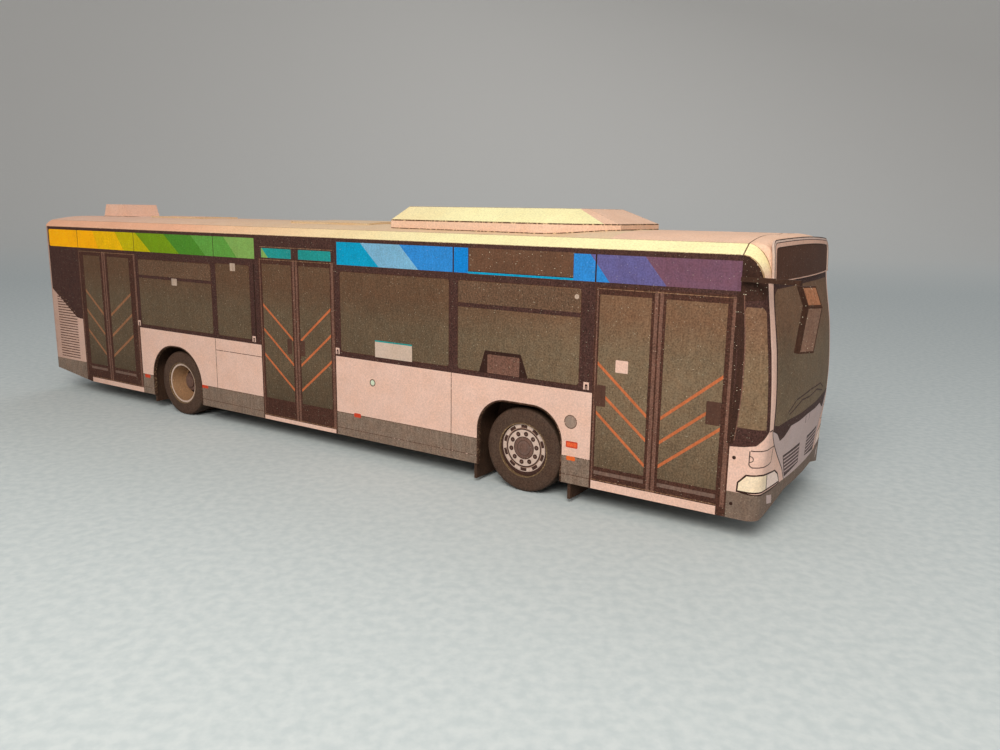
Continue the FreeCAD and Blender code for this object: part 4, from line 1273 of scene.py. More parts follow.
def rear_place(t, z):
    """Wraps a sheet round the rear end. Its run is 0 in the middle, negative on the door side."""
    reach = np.abs(t)
    side = np.sign(t)
    angle = np.clip((reach - REAR_FLAT) / REAR_CORNER, 0, math.pi / 2)
    beyond = np.maximum(reach - REAR_FLAT - REAR_BEND, 0)
    y = np.where(reach <= REAR_FLAT, reach, REAR_FLAT + REAR_CORNER * np.sin(angle))
    u = REAR_U + REAR_CORNER * (1 - np.cos(angle)) + beyond
    points = np.stack([u + FRONT_AXLE_X, y * side, z], axis=1)
    normal = np.stack([-np.cos(angle), np.sin(angle) * side, np.zeros_like(t)], axis=1)
    return points, normal


class BuildRear(bpy.types.Operator):
    """Wraps the printed rear end round its corners"""

    bl_idname = "card_bus.rear"
    bl_label = "Rear end"

    def execute(self, context):
        card = mix_up(context).card / MM
        reach = REAR_FLAT + REAR_BEND
        low = SKIRT_Z + TAIL_RISE
        widths = [REAR_FLAT * s / 12 for s in range(12, -13, -1)]
        outline = [
            (-reach, low), (reach, low), (reach, WALL_TOP_Z), (REAR_FLAT, WALL_TOP_Z),
            *((y, float(roof_height(y)) - card) for y in widths),
            (-REAR_FLAT, WALL_TOP_Z), (-reach, WALL_TOP_Z),
        ]
        prints = boxes(
            ("skirt", -20, 0, 20, 6.1),
            ("seam", -20, 6.06, 20, 6.14),
            ("black", -11.6, 19.6, 11.6, 29.6, 1.2),
            ("glass", -11.0, 20.2, 11.0, 29.0, 1.0),
            ("seam", -11.2, 7.6, 11.2, 18.6, 0.6),
            ("white", -11.1, 7.7, 11.1, 18.5, 0.55),
        )
        for u0, u1 in ((-14.1, -12.3), (12.3, 14.1)):
            prints += boxes(
                ("gasket", u0 - 0.1, 6.7, u1 + 0.1, 17.4, 0.4),
                ("lamp red", u0, 6.8, u1, 11.0, 0.35),
                ("marker", u0, 11.3, u1, 14.0, 0.35),
                ("lamp", u0, 14.3, u1, 17.3, 0.35),
            )
        runs = [REAR_FLAT + REAR_CORNER * a / 14 * math.pi / 2 for a in range(15)]
        bends = [[(side * run, -1), (side * run, PAST_TOP)] for run in runs for side in (-1, 1)]
        obj = card_piece("rear_skin", outline, prints, rear_place, card, bends=bends, smooth_angle=30)
        dress(obj, "body", "side_print", "rear_wall")
        place = Matrix.Translation(Vector((REAR_U + FRONT_AXLE_X - 0.005, 8.0, 8.6)) * MM)
        rows = grown("rear_louvre", "Slat rows", place @ Matrix.Rotation(-math.pi / 2, 4, "Z"), {
            "Slats": 14, "Pitch": 0.00062, "Length": 0.016, "Slat height": 0.00022, "Full rows": 14,
            "Shortest": 1.0, "Ink": INKS["seam"],
        })
        dress(rows, "body", "side_print")
        return {"FINISHED"}


# Front

NOSE_CORNER = 1.4
NOSE_LEAN = 1.65
NOSE_BOW = 0.94
CORNER_U = 30.06
# The front's levels as shares of its height, and how much of the lean its corner has there
NOSE_LEVELS = (
    (0.0, 0.31), (0.22, 0.19), (0.322, 0.03), (0.44, 0.0), (0.63, 0.19), (0.90, 0.85), (1.0, 0.95),
    (1.106, 1.5),
)
BOW_RADIUS = (HALF_WIDTH ** 2 + NOSE_BOW ** 2) / (2 * NOSE_BOW)
CORNER_Y = HALF_WIDTH - NOSE_CORNER
CORNER_ANGLE = math.asin(CORNER_Y / (BOW_RADIUS - NOSE_CORNER))
BOW_RUN = BOW_RADIUS * CORNER_ANGLE
BEND_RUN = NOSE_CORNER * (math.pi / 2 - CORNER_ANGLE)
DOME_Z = 28.2
BUMPER_RISE = 1.7
BUMPER_SLOPE = 7.0
KNOTS_Z = np.array([SKIRT_Z + h * (WALL_TOP_Z - SKIRT_Z) for h, _ in NOSE_LEVELS])
KNOTS_U = np.array([CORNER_U - lean * NOSE_LEAN for _, lean in NOSE_LEVELS])


def corner_u(z):
    """The front's corner at a height, on a smooth curve that doesn't swing past its levels."""
    steps = np.diff(KNOTS_Z)
    slopes = np.diff(KNOTS_U) / steps
    ends = np.array([slopes[0], *slopes])
    for i, (before, after) in enumerate(zip(slopes, slopes[1:]), 1):
        ends[i] = 0.0 if before * after <= 0 else 2 * before * after / (before + after)
    z = np.clip(np.asarray(z, float), KNOTS_Z[0], KNOTS_Z[-1])
    i = np.clip(np.searchsorted(KNOTS_Z, z, side="right") - 1, 0, len(steps) - 1)
    h = steps[i]
    s = (z - KNOTS_Z[i]) / h
    return (
        (2 * s ** 3 - 3 * s ** 2 + 1) * KNOTS_U[i] + (s ** 3 - 2 * s ** 2 + s) * h * ends[i]
        + (3 * s ** 2 - 2 * s ** 3) * KNOTS_U[i + 1] + (s ** 3 - s ** 2) * h * ends[i + 1]
    )


def bend_start_u(z):
    """Where the flat side starts to turn into the corner."""
    bow_u = corner_u(z) + NOSE_BOW - BOW_RADIUS
    return bow_u + math.sqrt((BOW_RADIUS - NOSE_CORNER) ** 2 - CORNER_Y ** 2)


def side_run(z):
    """The run from the middle of the front to the joint with the side wall."""
    return BOW_RUN + BEND_RUN + bend_start_u(z) - SIDE_FRONT_U


def nose_place(lift=0.0):
    """Wraps a sheet round the front. Its run is 0 in the middle, negative on the door side."""
    def place(t, z):
        reach = np.abs(t)
        side = np.sign(t)
        bow_u = corner_u(z) + NOSE_BOW - BOW_RADIUS
        on_bow = reach / BOW_RADIUS
        turn = CORNER_ANGLE + np.clip((reach - BOW_RUN) / NOSE_CORNER, 0, math.pi / 2 - CORNER_ANGLE)
        beyond = np.maximum(reach - BOW_RUN - BEND_RUN, 0)
        bowed = reach <= BOW_RUN
        angle = np.where(bowed, on_bow, turn)
        bent_u = bend_start_u(z) + NOSE_CORNER * np.cos(turn) - beyond
        u = np.where(bowed, bow_u + BOW_RADIUS * np.cos(on_bow), bent_u)
        y = np.where(bowed, BOW_RADIUS * np.sin(on_bow), CORNER_Y + NOSE_CORNER * np.sin(turn))
        lean = (corner_u(z + 0.05) - corner_u(z - 0.05)) / 0.1
        normal = np.stack([np.cos(angle), np.sin(angle) * side, -lean * np.cos(angle)], axis=1)
        normal /= np.linalg.norm(normal, axis=1)[:, None]
        return np.stack([u + FRONT_AXLE_X, y * side, z], axis=1) + normal * lift, normal
    return place


def from_joint(run, z):
    """A place on the door side's corner, given by its run from the side wall's joint."""
    return (run - float(side_run(z)), z)


def across(y, z):
    """A place on the front given by its width."""
    return (BOW_RADIUS * math.asin(y / BOW_RADIUS), z)


def corner_shape(*spots):
    """A shape on the door side's corner, from runs off the side wall's joint."""
    return [from_joint(run, z) for run, z in spots]


def front_shape(*spots):
    """A shape on the front, from widths."""
    return [across(y, z) for y, z in spots]


def nose_bends(step):
    """Bend lines of the front, close together round its corners."""
    corners = np.arange(BOW_RUN - 0.1, BOW_RUN + BEND_RUN + 0.15, step * 0.6)
    runs = [s * t for t in corners for s in (-1, 1)] + list(np.arange(-13, 13.1, 1.0))
    lines = [[(t, 0.0), (t, 36.0)] for t in runs]
    lines += [[(-22.0, z), (22.0, z)] for z in np.arange(2.7, 33.5, 0.8)]
    return lines


def lens_shape(run, z, radius):
    """A small round spot on the door side's corner."""
    turns = np.linspace(0, 2 * math.pi, 13)[:-1]
    return corner_shape(*((run + radius * math.cos(a), z + radius * math.sin(a)) for a in turns))


# Edges that several prints of the front's door side share
SASH_FOOT = corner_shape((-1.0, 10.6), (0.0, 10.68), (1.5, 10.84), (2.8, 11.14), (3.6, 11.9), (4.2, 12.66))
PILLAR_REAR = corner_shape(
    (2.95, 28.3), (3.06, 27.42), (3.27, 25.48), (3.54, 22.43), (3.86, 19.32), (4.06, 16.16), (4.26, 12.6)
)
PILLAR_FRONT = front_shape(
    (-12.74, 12.5), (-12.78, 16.0), (-12.72, 22.3), (-12.5, 25.4), (-12.3, 27.3), (-12.25, 28.3)
)
SCREEN_FOOT = front_shape(
    (-12.75, 12.49), (-11.5, 12.0), (-10.3, 10.96), (-9.05, 11.15), (-7.0, 12.03), (-3.85, 11.97), (0.0, 12.1)
)
HORN = ((2.4, 28.2), (2.3, 28.6), (2.1, 29.1), (1.8, 29.7), (1.3, 30.4), (0.65, 30.85))


def corner_window():
    """The quarter window, the black round it and the white pillar ahead of it."""
    return [
        ("black", SASH_FOOT + PILLAR_REAR[::-1] + [from_joint(-1.0, 28.2)]),
        ("corner black", corner_shape((-1.0, 27.9), *HORN, (0.0, 31.0), (-1.0, 31.0))),
        # The dark patch at the head of the quarter window is partly black print and partly painted shadow of
        # the mirror arm.
        ("corner black", corner_shape(
            (-1.0, 27.0), (-1.0, 28.3), (2.9, 28.3), (2.95, 27.2), (2.6, 26.5), (0.6, 26.3)
        )),
        ("quarter glass", corner_shape(
            (0.55, 12.9), (3.75, 12.9), (3.62, 16.2), (3.42, 19.3), (3.1, 22.4), (2.85, 25.2), (2.45, 25.7),
            (0.75, 25.7), (0.5, 25.2),
        )),
        ("corner black", corner_shape((-0.4, 11.0), (0.32, 11.0), (0.32, 27.6), (-0.4, 27.6))),
        ("door frame", corner_shape((0.36, 11.4), (0.48, 11.4), (0.48, 27.0), (0.36, 27.0))),
        ("white", PILLAR_REAR + PILLAR_FRONT),
    ]


def windscreen_prints():
    """The dark surround, the blank glass and the faint wiper lines."""
    side = front_shape((-12.28, 28.4), (-12.5, 25.4), (-12.72, 22.3), (-12.78, 16.0))
    glass_foot = front_shape((-12.45, 13.1), (-11.3, 12.85), (-8.0, 12.95), (-4.0, 12.85), (0.0, 12.9))
    glass_side = front_shape((-11.3, 27.45), (-12.0, 26.9), (-12.3, 24.6), (-12.5, 17.0))
    return [
        ("black", SCREEN_FOOT + [(0.0, 28.4)] + side),
        ("glass", glass_foot + [(0.0, 27.55)] + glass_side),
        *path_strokes("black", front_shape((-8.6, 13.8), (-5.8, 14.8), (-0.1, 15.0)), 0.2),
        *path_strokes("black", front_shape((-8.1, 13.5), (-3.6, 14.4), (-0.1, 14.2)), 0.2),
    ]


def lamp_prints():
    """The head lamp in two parts, outlined in dark print."""
    return [
        ("gasket", corner_shape(
            (1.0, 5.8), (1.05, 6.88), (1.93, 7.88), (3.43, 7.96), (5.44, 7.8), (7.29, 7.68), (8.36, 7.03),
            (9.1, 5.8),
        )),
        ("lamp", corner_shape(
            (1.18, 5.98), (1.22, 6.8), (2.04, 7.7), (3.43, 7.78), (4.92, 7.64), (5.05, 5.98)
        )),
        ("side lamp", corner_shape((5.22, 5.98), (5.08, 7.62), (7.20, 7.50), (8.18, 6.92), (8.85, 5.98))),
    ]


def grille_prints():
    """Dark slots behind white slats, in a dark outline."""
    prints = [
        ("gasket", front_shape((-8.25, 8.78), (-1.75, 8.88), (-1.55, 6.42), (-6.87, 5.99))),
        ("grille", front_shape((-8.02, 8.62), (-1.81, 8.72), (-1.62, 6.55), (-6.72, 6.15))),
    ]
    for row in range(5):
        z = 6.52 + row * 0.45
        y = -6.9 - 0.235 * row
        slat = front_shape((y, z), (-1.75, z + 0.03), (-1.75, z + 0.19), (y - 0.06, z + 0.16))
        prints.append(("front white", slat))
    return prints


def front_prints():
    """Everything printed on the front, from the bumper to the head of the windscreen."""
    corner = across(-12.74, 12.5)
    seam = front_shape(
        (-13.6, 12.66), (-12.9, 12.7), (-12.66, 11.9), (-11.97, 10.9), (-9.81, 8.89), (-7.97, 7.19),
        (-6.91, 5.64)
    )
    hatch = corner_shape(
        (2.2, 10.5), (2.2, 8.95), (2.5, 8.72), (5.2, 8.78), (5.75, 8.95), (5.78, 10.4), (5.9, 10.75),
        (3.6, 10.6),
        (2.3, 10.55),
    )
    turns = np.linspace(-math.pi / 2, math.pi / 2, 7)
    catch = corner_shape(*((2.2 + 0.42 * math.cos(a), 9.62 + 0.34 * math.sin(a)) for a in turns))
    right = corner_window() + windscreen_prints() + [
        ("front white", [
            from_joint(-1.0, 5.75), (0.0, 5.75), (0.0, 12.1), *SCREEN_FOOT[-2:0:-1], corner, *SASH_FOOT[::-1]
        ]),
        ("white", [from_joint(-1.0, 5.64), *seam[::-1], corner, *SASH_FOOT[::-1]]),
        *path_strokes("front seam", seam, 0.15),
        *path_strokes("front seam", hatch, 0.12),
        *path_strokes("front seam", catch, 0.1),
        ("gasket", lens_shape(0.56, 9.52, 0.21)),
        *lamp_prints(),
        ("bumper", [from_joint(-1.0, 0.0), (0.0, 0.0), (0.0, 5.72), from_joint(-1.0, 5.72)]),
        *path_strokes("gasket", corner_shape((1.0, 5.85), (3.5, 5.6), (6.2, 5.55), (9.1, 5.72)), 0.14),
        ("gasket", lens_shape(0.57, 4.34, 0.2)),
        ("front white", front_shape((-11.8, 4.1), (-12.1, 5.15), (-10.6, 4.85), (-10.4, 3.85))),
        *grille_prints(),
        *path_strokes("front seam", front_shape((-0.9, 11.1), (-0.9, 12.0)), 0.15),
    ]
    return right + [(ink, [(-t, z) for t, z in shape]) for ink, shape in right]


def bumper_foot(t):
    """The lower edge of the front at a run, rising between the corners."""
    y = abs(t)
    foot = HALF_WIDTH - 1.35
    if y >= foot:
        return SKIRT_Z
    return SKIRT_Z + BUMPER_RISE * min(1.0, (foot - y) / BUMPER_SLOPE)


def nose_strip(half, low, high, count=24):
    """An outline between two heights of the front; the lower may be a function of the run."""
    runs = [-half + 2 * half * i / count for i in range(count + 1)]
    low_at = low if callable(low) else (lambda t: low)
    return [(t, low_at(t)) for t in runs] + [(t, high) for t in reversed(runs)]


def joint_line(side, low, high, count=12):
    """The side wall's joint, which leans with the front, from its head to its foot."""
    heights = [low + (high - low) * i / count for i in range(count + 1)]
    return [(side * float(side_run(z)), z) for z in reversed(heights)]


def lamp_outline(side, inner, high):
    """A lamp corner's outline, from the side wall's joint to the mask."""
    runs = np.linspace(float(side_run(SKIRT_Z)), inner, 14)[1:-1]
    foot = [(side * t, bumper_foot(t)) for t in runs]
    return joint_line(side, SKIRT_Z, high) + foot + [(side * inner, bumper_foot(inner)), (side * inner, high)]


def pillar_outline(side, inner, low):
    """A corner pillar's outline, with the dome's horn cut into its head."""
    joint = [(side * float(side_run(z)), z) for z in np.linspace(WALL_TOP_Z, low, 20)]
    horn = [(-side * t, z) for t, z in corner_shape(*HORN)]
    return joint + [(side * inner, low), (side * inner, DOME_Z)] + horn


class BuildFront(bpy.types.Operator):
    """Wraps the printed front: bumper, lamps, windscreen and pillars"""

    bl_idname = "card_bus.front"
    bl_label = "Front"

    def execute(self, context):
        settings = mix_up(context)
        prints = front_prints()
        bends = nose_bends(settings.fold_step / MM)
        mask_high = node_box("front_mask")[1]
        mask_t = across(mask_high.y, 0)[0]
        pillar_t = across(HALF_WIDTH - 1.95, 0)[0]
        mask = nose_strip(mask_t, bumper_foot, mask_high.z)
        screen = nose_strip(pillar_t, mask_high.z, DOME_Z)
        # The front's sheets stand on the greyer front white, a painted shade of the sides' white card.
        sheets = [
            ("mask_skin", "front_print", "front_mask", "front white", mask),
            ("windscreen_skin", "glass_print", "windscreen", "black", screen),
        ]
        for side, label in ((-1, "right"), (1, "left")):
            lamp = lamp_outline(side, mask_t, mask_high.z)
            pillar = pillar_outline(side, pillar_t, mask_high.z)
            sheets += [
                (f"lamp_corner_skin_{label}", "front_print", f"lamp_corner_{label}", "front white", lamp),
                (f"pillar_skin_{label}", "glass_print", f"corner_pillar_{label}", "front white", pillar),
            ]
        for name, slot, node, base, outline in sheets:
            obj = card_piece(
                name, outline, prints, nose_place(), settings.card / MM, base=base, bends=bends,
                smooth_angle=35,
            )
            dress(obj, "body", slot, node)
        return {"FINISHED"}


# Dome over the front

CREASE_RUN = 4.0
HORN_RUN = 2.4
CHEEK_SHARE = 0.97
DISPLAY_SHIFT = -0.5
DISPLAY_HALF = node_box("display_frame")[1].y + 0.25
DISPLAY_HEAD_Z = node_box("display_frame")[1].z
DISPLAY_PROUD = 0.3


def dome_curve(share, power):
    """How far forward and how far down a dome line has gone, from 0 at the roof to 1 at its foot."""
    angle = share * math.pi / 2
    return np.sin(angle) ** power, 1 - np.cos(angle) ** power


def squared_curve(share, hardness):
    """The same for a line that runs forward first and then turns down sharply."""
    scale = (share ** hardness + (1 - share) ** hardness) ** (-1 / hardness)
    return share * scale, 1 - (1 - share) * scale


def display_head(t):
    """The arched upper edge of the destination box, a little higher on the door side."""
    return DISPLAY_HEAD_Z - 0.3 * (t / 12.0) ** 2 - 0.012 * t


def horn_line(share):
    """The dome's outer edge, which sweeps down over the quarter window."""
    ahead, down = dome_curve(share, 1.1)
    z = WALL_TOP_Z - down * (WALL_TOP_Z - DOME_Z)
    t = HORN_RUN * ahead - side_run(z)
    points, _ = nose_place()(t, z)
    return points


def crease_line(share):
    """The dome's crease, from the coving's fold down to the top of the pillar."""
    end, _ = nose_place()(np.array([CREASE_RUN - float(side_run(DOME_Z))]), np.array([DOME_Z]))
    ahead, down = dome_curve(share, 1.15)
    start = np.array([SIDE_FRONT_U + FRONT_AXLE_X, -CROWN_EDGE, ROOF_EDGE_Z])
    gone = np.stack([ahead, share, down], axis=1)
    return start + (end[0] - start) * gone


def dome_points(run, share):
    """A point of the dome from its run across the roof and its share of the way down."""
    reach = np.abs(run)
    side = np.where(run > 0, 1.0, -1.0)
    crease = crease_line(share)
    fold_t = float(side_run(DOME_Z)) - CREASE_RUN
    horn_t = float(side_run(DOME_Z)) - HORN_RUN
    over = np.clip((reach - FOLD_RUN) / (ROOF_RUN - FOLD_RUN), 0, 1)
    petal = crease + (horn_line(share) - crease) * over[:, None]
    foot, _ = nose_place()(-fold_t - (horn_t - fold_t) * over, np.full_like(over, DOME_Z))
    crease_end = crease_line(np.array([1.0]))[0]
    horn_end = horn_line(np.array([1.0]))[0]
    chord = crease_end + (horn_end - crease_end) * over[:, None]
    petal = petal + (foot - chord) * (share ** 2)[:, None]
    y, z, _, _ = roof_spot(-reach)
    crown_t = -reach / FOLD_RUN * fold_t
    ahead, down = squared_curve(share, 5.0)
    head = np.minimum(display_head(crown_t), z) - 0.2
    height = z - (z - head) * ahead ** 2 - (head - DOME_Z) * down
    front, _ = nose_place()(crown_t, height)
    start = SIDE_FRONT_U + FRONT_AXLE_X
    crown = np.stack([start + (front[:, 0] - start) * ahead, y + (front[:, 1] - y) * share, height], axis=1)
    cheek = np.clip((reach / FOLD_RUN - CHEEK_SHARE) / (1 - CHEEK_SHARE), 0, 1)
    crown = crown + (crease - crown) * cheek[:, None]
    points = np.where((reach > FOLD_RUN)[:, None], petal, crown)
    points[:, 1] *= -side
    return points


def dome_place(run, share):
    """A dome point and its outward normal, by small steps along the sheet."""
    points = dome_points(run, share)
    small = 0.01
    along = dome_points(run, np.clip(share + small, 0, 1)) - dome_points(run, np.clip(share - small, 0, 1))
    inward = np.where(np.abs(np.abs(run) - FOLD_RUN) < 0.02, 0.02, 0.0)
    sideways = dome_points(run + small + inward, share) - dome_points(run - small - inward, share)
    normal = np.cross(along, sideways)
    normal /= np.maximum(np.linalg.norm(normal, axis=1), 1e-9)[:, None]
    flip = np.sign((normal * np.array([0.6, 0.0, 0.8])).sum(axis=1))
    return points, normal * np.where(flip == 0, 1, flip)[:, None]


def display_outline(side_in, top_in, foot_z=DOME_Z + 0.02):
    """The destination box's outline on the front's sheet, rounded at its upper corners."""
    left = DISPLAY_SHIFT - DISPLAY_HALF + side_in
    right = DISPLAY_SHIFT + DISPLAY_HALF - side_in
    radius = 1.25 - side_in

    def shoulder(t, start):
        return arc(t, display_head(t) - top_in - radius, radius, start, 90, 6)

    head = [float(t) for t in np.linspace(right - radius, left + radius, 14)[1:-1]]
    return [
        (left, foot_z), (right, foot_z), *shoulder(right - radius, 0),
        *((t, display_head(t) - top_in) for t in head), *shoulder(left + radius, 90),
    ]


class BuildDome(bpy.types.Operator):
    """Shapes the white dome over the windscreen and the destination box on it"""

    bl_idname = "card_bus.dome"
    bl_label = "Dome and display"

    def execute(self, context):
        settings = mix_up(context)
        widths = [ROOF_RUN * s / 40 for s in range(-40, 41)]
        outline = [(run, 0.0) for run in widths] + [(run, 1.0) for run in reversed(widths)]
        runs = [FOLD_RUN * (CHEEK_SHARE + (1 - CHEEK_SHARE) * k / 3) for k in range(4)]
        runs += [FOLD_RUN + (ROOF_RUN - FOLD_RUN) * k / 6 for k in range(1, 6)]
        runs = [side * run for run in runs for side in (-1, 1)] + list(np.arange(-12.0, 12.1, 0.6))
        bends = [[(run, 0.0), (run, 1.0)] for run in runs]
        bends += [[(-ROOF_RUN, k / 32), (ROOF_RUN, k / 32)] for k in range(1, 32)]
        prints = []
        for side in (-1, 1):
            u0, u1 = sorted((side * FOLD_RUN, side * (ROOF_RUN + 0.1)))
            fold, edge = side * FOLD_RUN, side * (ROOF_RUN - 0.05)
            # The petal facets carry painted light: a highlight at their head, shade at their foot.
            prints += boxes(("petal", u0, 0.0, u1, 1.0))
            prints.append(("fold", stroke((fold, 0.0), (fold, 1.0), 0.09)))
            prints.append(("fold", stroke((edge, 0.0), (edge, 1.0), 0.1)))
        prints += boxes(("roof seam", -ROOF_RUN, 0.0, ROOF_RUN, 0.022))
        obj = card_piece(
            "dome_skin", outline, prints, dome_place, settings.card / MM * 0.8, base="dome", bends=bends,
            smooth_angle=24,
        )
        dress(obj, "body", "roof_card", "front_dome")
        self.build_display()
        return {"FINISHED"}

    def build_display(self):
        """The blank destination box: a dark panel set back in a banded frame."""
        bends = [[(t, 27.0), (t, 34.0)] for t in np.arange(-13, 13.1, 1.0)]
        bends += [[(-14.0, z), (14.0, z)] for z in np.arange(28.6, 33, 0.8)]
        obj = card_piece(
            "display_card", display_outline(0.45, 0.65), [], nose_place(DISPLAY_PROUD - 0.12), 0.13,
            base="display", bends=bends, back="display", edge="display", smooth_angle=20,
        )
        dress(obj, "body", "glass_print", "display_panel")
        bands = [
            ("display edge", display_outline(0.09, 0.1)), ("front seam", display_outline(0.24, 0.28)),
            ("display rim", display_outline(0.31, 0.36)),
        ]
        obj = card_piece(
            "display_rim_card", display_outline(0.0, 0.0), bands, nose_place(DISPLAY_PROUD), 0.25,
            base="gasket", holes=[display_outline(0.55, 0.75, DOME_Z + 0.12)], bends=bends,
            back="display edge", edge="display edge", smooth_angle=20,
        )
        dress(obj, "body", "front_print", "display_frame")


# Mirrors

MIRROR_TURN = 58.0
CASE_DEPTH = 1.15
ARM_BACK = 1.5
ARM_CARD = 0.45
CASE_MARGIN = 0.12


def box_part(corners, first, other):
    """A closed block from eight corners, lower four then upper four, its foot in the first ink."""
    faces = [(3, 2, 1, 0), (4, 5, 6, 7), (0, 1, 5, 4), (1, 2, 6, 5), (2, 3, 7, 6), (3, 0, 4, 7)]
    points = np.array(corners, float)
    middle = points.mean(axis=0)
    names = sorted({first, other})
    turned = []
    for face in faces:
        a, b, c, _ = points[list(face)]
        away = points[list(face)].mean(axis=0) - middle
        turned.append(face if np.dot(np.cross(b - a, c - a), away) > 0 else face[::-1])
    return points, turned, [names.index(first)] + [names.index(other)] * 5, names


def mirror_head(centre, width, depth, low, high, lean, face_ink):
    """A folded mirror case with a lighter face, its head pushed back, or its foot where lean is negative."""
    angle = math.radians(MIRROR_TURN)
    along = Vector((math.cos(angle), math.sin(angle), 0))
    through = Vector((-math.sin(angle), math.cos(angle), 0))

    def corner(a, b, z):
        forward = (CASE_DEPTH - depth) / 2 - b * depth / 2
        spot = Vector((*centre, z)) + along * (a * width / 2) - through * forward
        share = (z - low) / (high - low)
        spot.x -= lean * (share if lean > 0 else share - 1)
        return tuple(spot)

    case = [corner(a, b, z) for z in (low, high) for a, b in ((-1, -1), (1, -1), (1, 1), (-1, 1))]
    inner = 1 - CASE_MARGIN
    foot, head = low + 0.2, high - 0.14
    rim = ((foot, -inner), (foot, inner), (head, inner), (head, -inner))
    plate = [corner(a, b, z) for b in (-0.9, -1.03) for z, a in rim]
    return [box_part(case, "mirror case", "mirror case"), box_part(plate, face_ink, face_ink)]


def arm_strip(root, tip, width, low, high):
    """A straight strip between two places, its lower edge left bare."""
    plan = stroke(root, tip, width)
    return box_part([(x, y, z) for z in (low, high) for x, y in plan], "arm edge", "mirror case")


class BuildMirrors(bpy.types.Operator):
    """Folds the mirrors and their arms"""

    bl_idname = "card_bus.mirrors"
    bl_label = "Mirrors"

    def execute(self, context):
        mix_up(context)
        low, high = node_box("mirror_main_right")
        right = ((low.x + high.x) / 2, (low.y + high.y) / 2)
        low, high = node_box("mirror_main_left")
        left = ((low.x + high.x) / 2, -(low.y + high.y) / 2)
        for name, node, ink, centre, lean, width, depth in (
            ("mirror_case_right", "mirror_main_right", "mirror face", right, -0.45, 1.9, 0.7),
            ("wide_mirror_case_right", "mirror_wide_right", "wide mirror", right, 0.75, 1.8, 0.7),
            ("mirror_case_left", "mirror_main_left", "mirror face", left, -0.2, 1.9, 0.8),
        ):
            low, high = node_box(node)
            parts = mirror_head(centre, width, depth, low.z, high.z, lean, ink)
            if low.y > 0:
                parts = [mirror_part(part) for part in parts]
            dress(join_parts(name, parts), "body", "mirror_card", node)
        low, high = node_box("mirror_arm_right")
        root = (low.x + ARM_CARD, -HALF_WIDTH - 0.55)
        tip = (right[0] + ARM_CARD - ARM_BACK, right[1])
        x0, x1, reach = low.x, low.x + 2 * ARM_CARD, -HALF_WIDTH - 0.78
        foot = [(x0, -HALF_WIDTH), (x0, reach), (x1, reach), (x1, -HALF_WIDTH)]
        corners = [(x, y, z) for z in (low.z + 0.01, high.z - 0.01) for x, y in foot]
        parts = [arm_strip(root, tip, ARM_CARD, low.z, high.z), box_part(corners, "arm edge", "mirror case")]
        dress(join_parts("mirror_arm_card_right", parts), "body", "mirror_card", "mirror_arm_right")
        low, high = node_box("mirror_arm_left")
        x = (low.x + high.x) / 2
        part = arm_strip((x, low.y), (x, high.y), 2 * ARM_CARD, low.z, high.z)
        dress(join_parts("mirror_arm_card_left", [part]), "body", "mirror_card", "mirror_arm_left")
        return {"FINISHED"}


# Wheels

WHEEL_RADIUS = 5.5
RIM_RADIUS = 3.38
BORE = 3.4
STICK_BORE = 1.02
TURN_STEPS = 72
# How far the wheel print was glued above the axle
PRINT_RISE = 0.24
TYRE_INKS = ["tyre"] * 3 + ["tread"] * 4 + ["tyre"] + ["tyre edge"] * 2


def lathe(profile, labels, axle_x):
    """Turns a closed outline of (radius, y) about a wheel's axis, with an ink for each of its sides."""
    count = len(profile)
    if sum(r1 * y2 - r2 * y1 for (r1, y1), (r2, y2) in zip(profile, profile[1:] + profile[:1])) < 0:
        profile = profile[::-1]
        labels = [labels[(count - 2 - i) % count] for i in range(count)]
    points, faces, slots, rings = [], [], [], []
    names = sorted(set(labels))
    turns = [2 * math.pi * k / TURN_STEPS for k in range(TURN_STEPS)]
    for radius, y in profile:
        if radius <= 0:
            rings.append([len(points)] * TURN_STEPS)
            points.append((axle_x, y, AXLE_Z))
        else:
            rings.append([len(points) + k for k in range(TURN_STEPS)])
            points += [(axle_x + radius * math.cos(a), y, AXLE_Z + radius * math.sin(a)) for a in turns]
    for i, a in enumerate(rings):
        b = rings[(i + 1) % count]
        if a[0] == a[1] and b[0] == b[1]:
            continue
        for k in range(TURN_STEPS):
            m = (k + 1) % TURN_STEPS
            faces.append(tuple(dict.fromkeys((a[k], a[m], b[m], b[k]))))
            slots.append(names.index(labels[i]))
    return np.array(points), faces, slots, names


def tyre_profile(outer_y, inner_y):
    """A tyre's section: an eased shoulder, a flat tread and a sharper inner edge."""
    return [
        (BORE + 0.14, outer_y), (4.75, outer_y), (5.12, outer_y + 0.06), (5.36, outer_y + 0.2),
        (5.47, outer_y + 0.38), (WHEEL_RADIUS, outer_y + 0.6), (WHEEL_RADIUS, inner_y - 0.3),
        (5.36, inner_y), (BORE, inner_y), (BORE, outer_y),
    ]


def sector(inner, outer, middle, half):
    """A rounded block of the wheel print between two radii."""
    def arc(radius, angles):
        turns = [math.radians(middle + angle) for angle in angles]
        return [(radius * math.cos(a), radius * math.sin(a) + PRINT_RISE) for a in turns]
    return arc(outer, np.linspace(-half, half, 9)) + arc(inner, np.linspace(0.8 * half, -0.8 * half, 5))


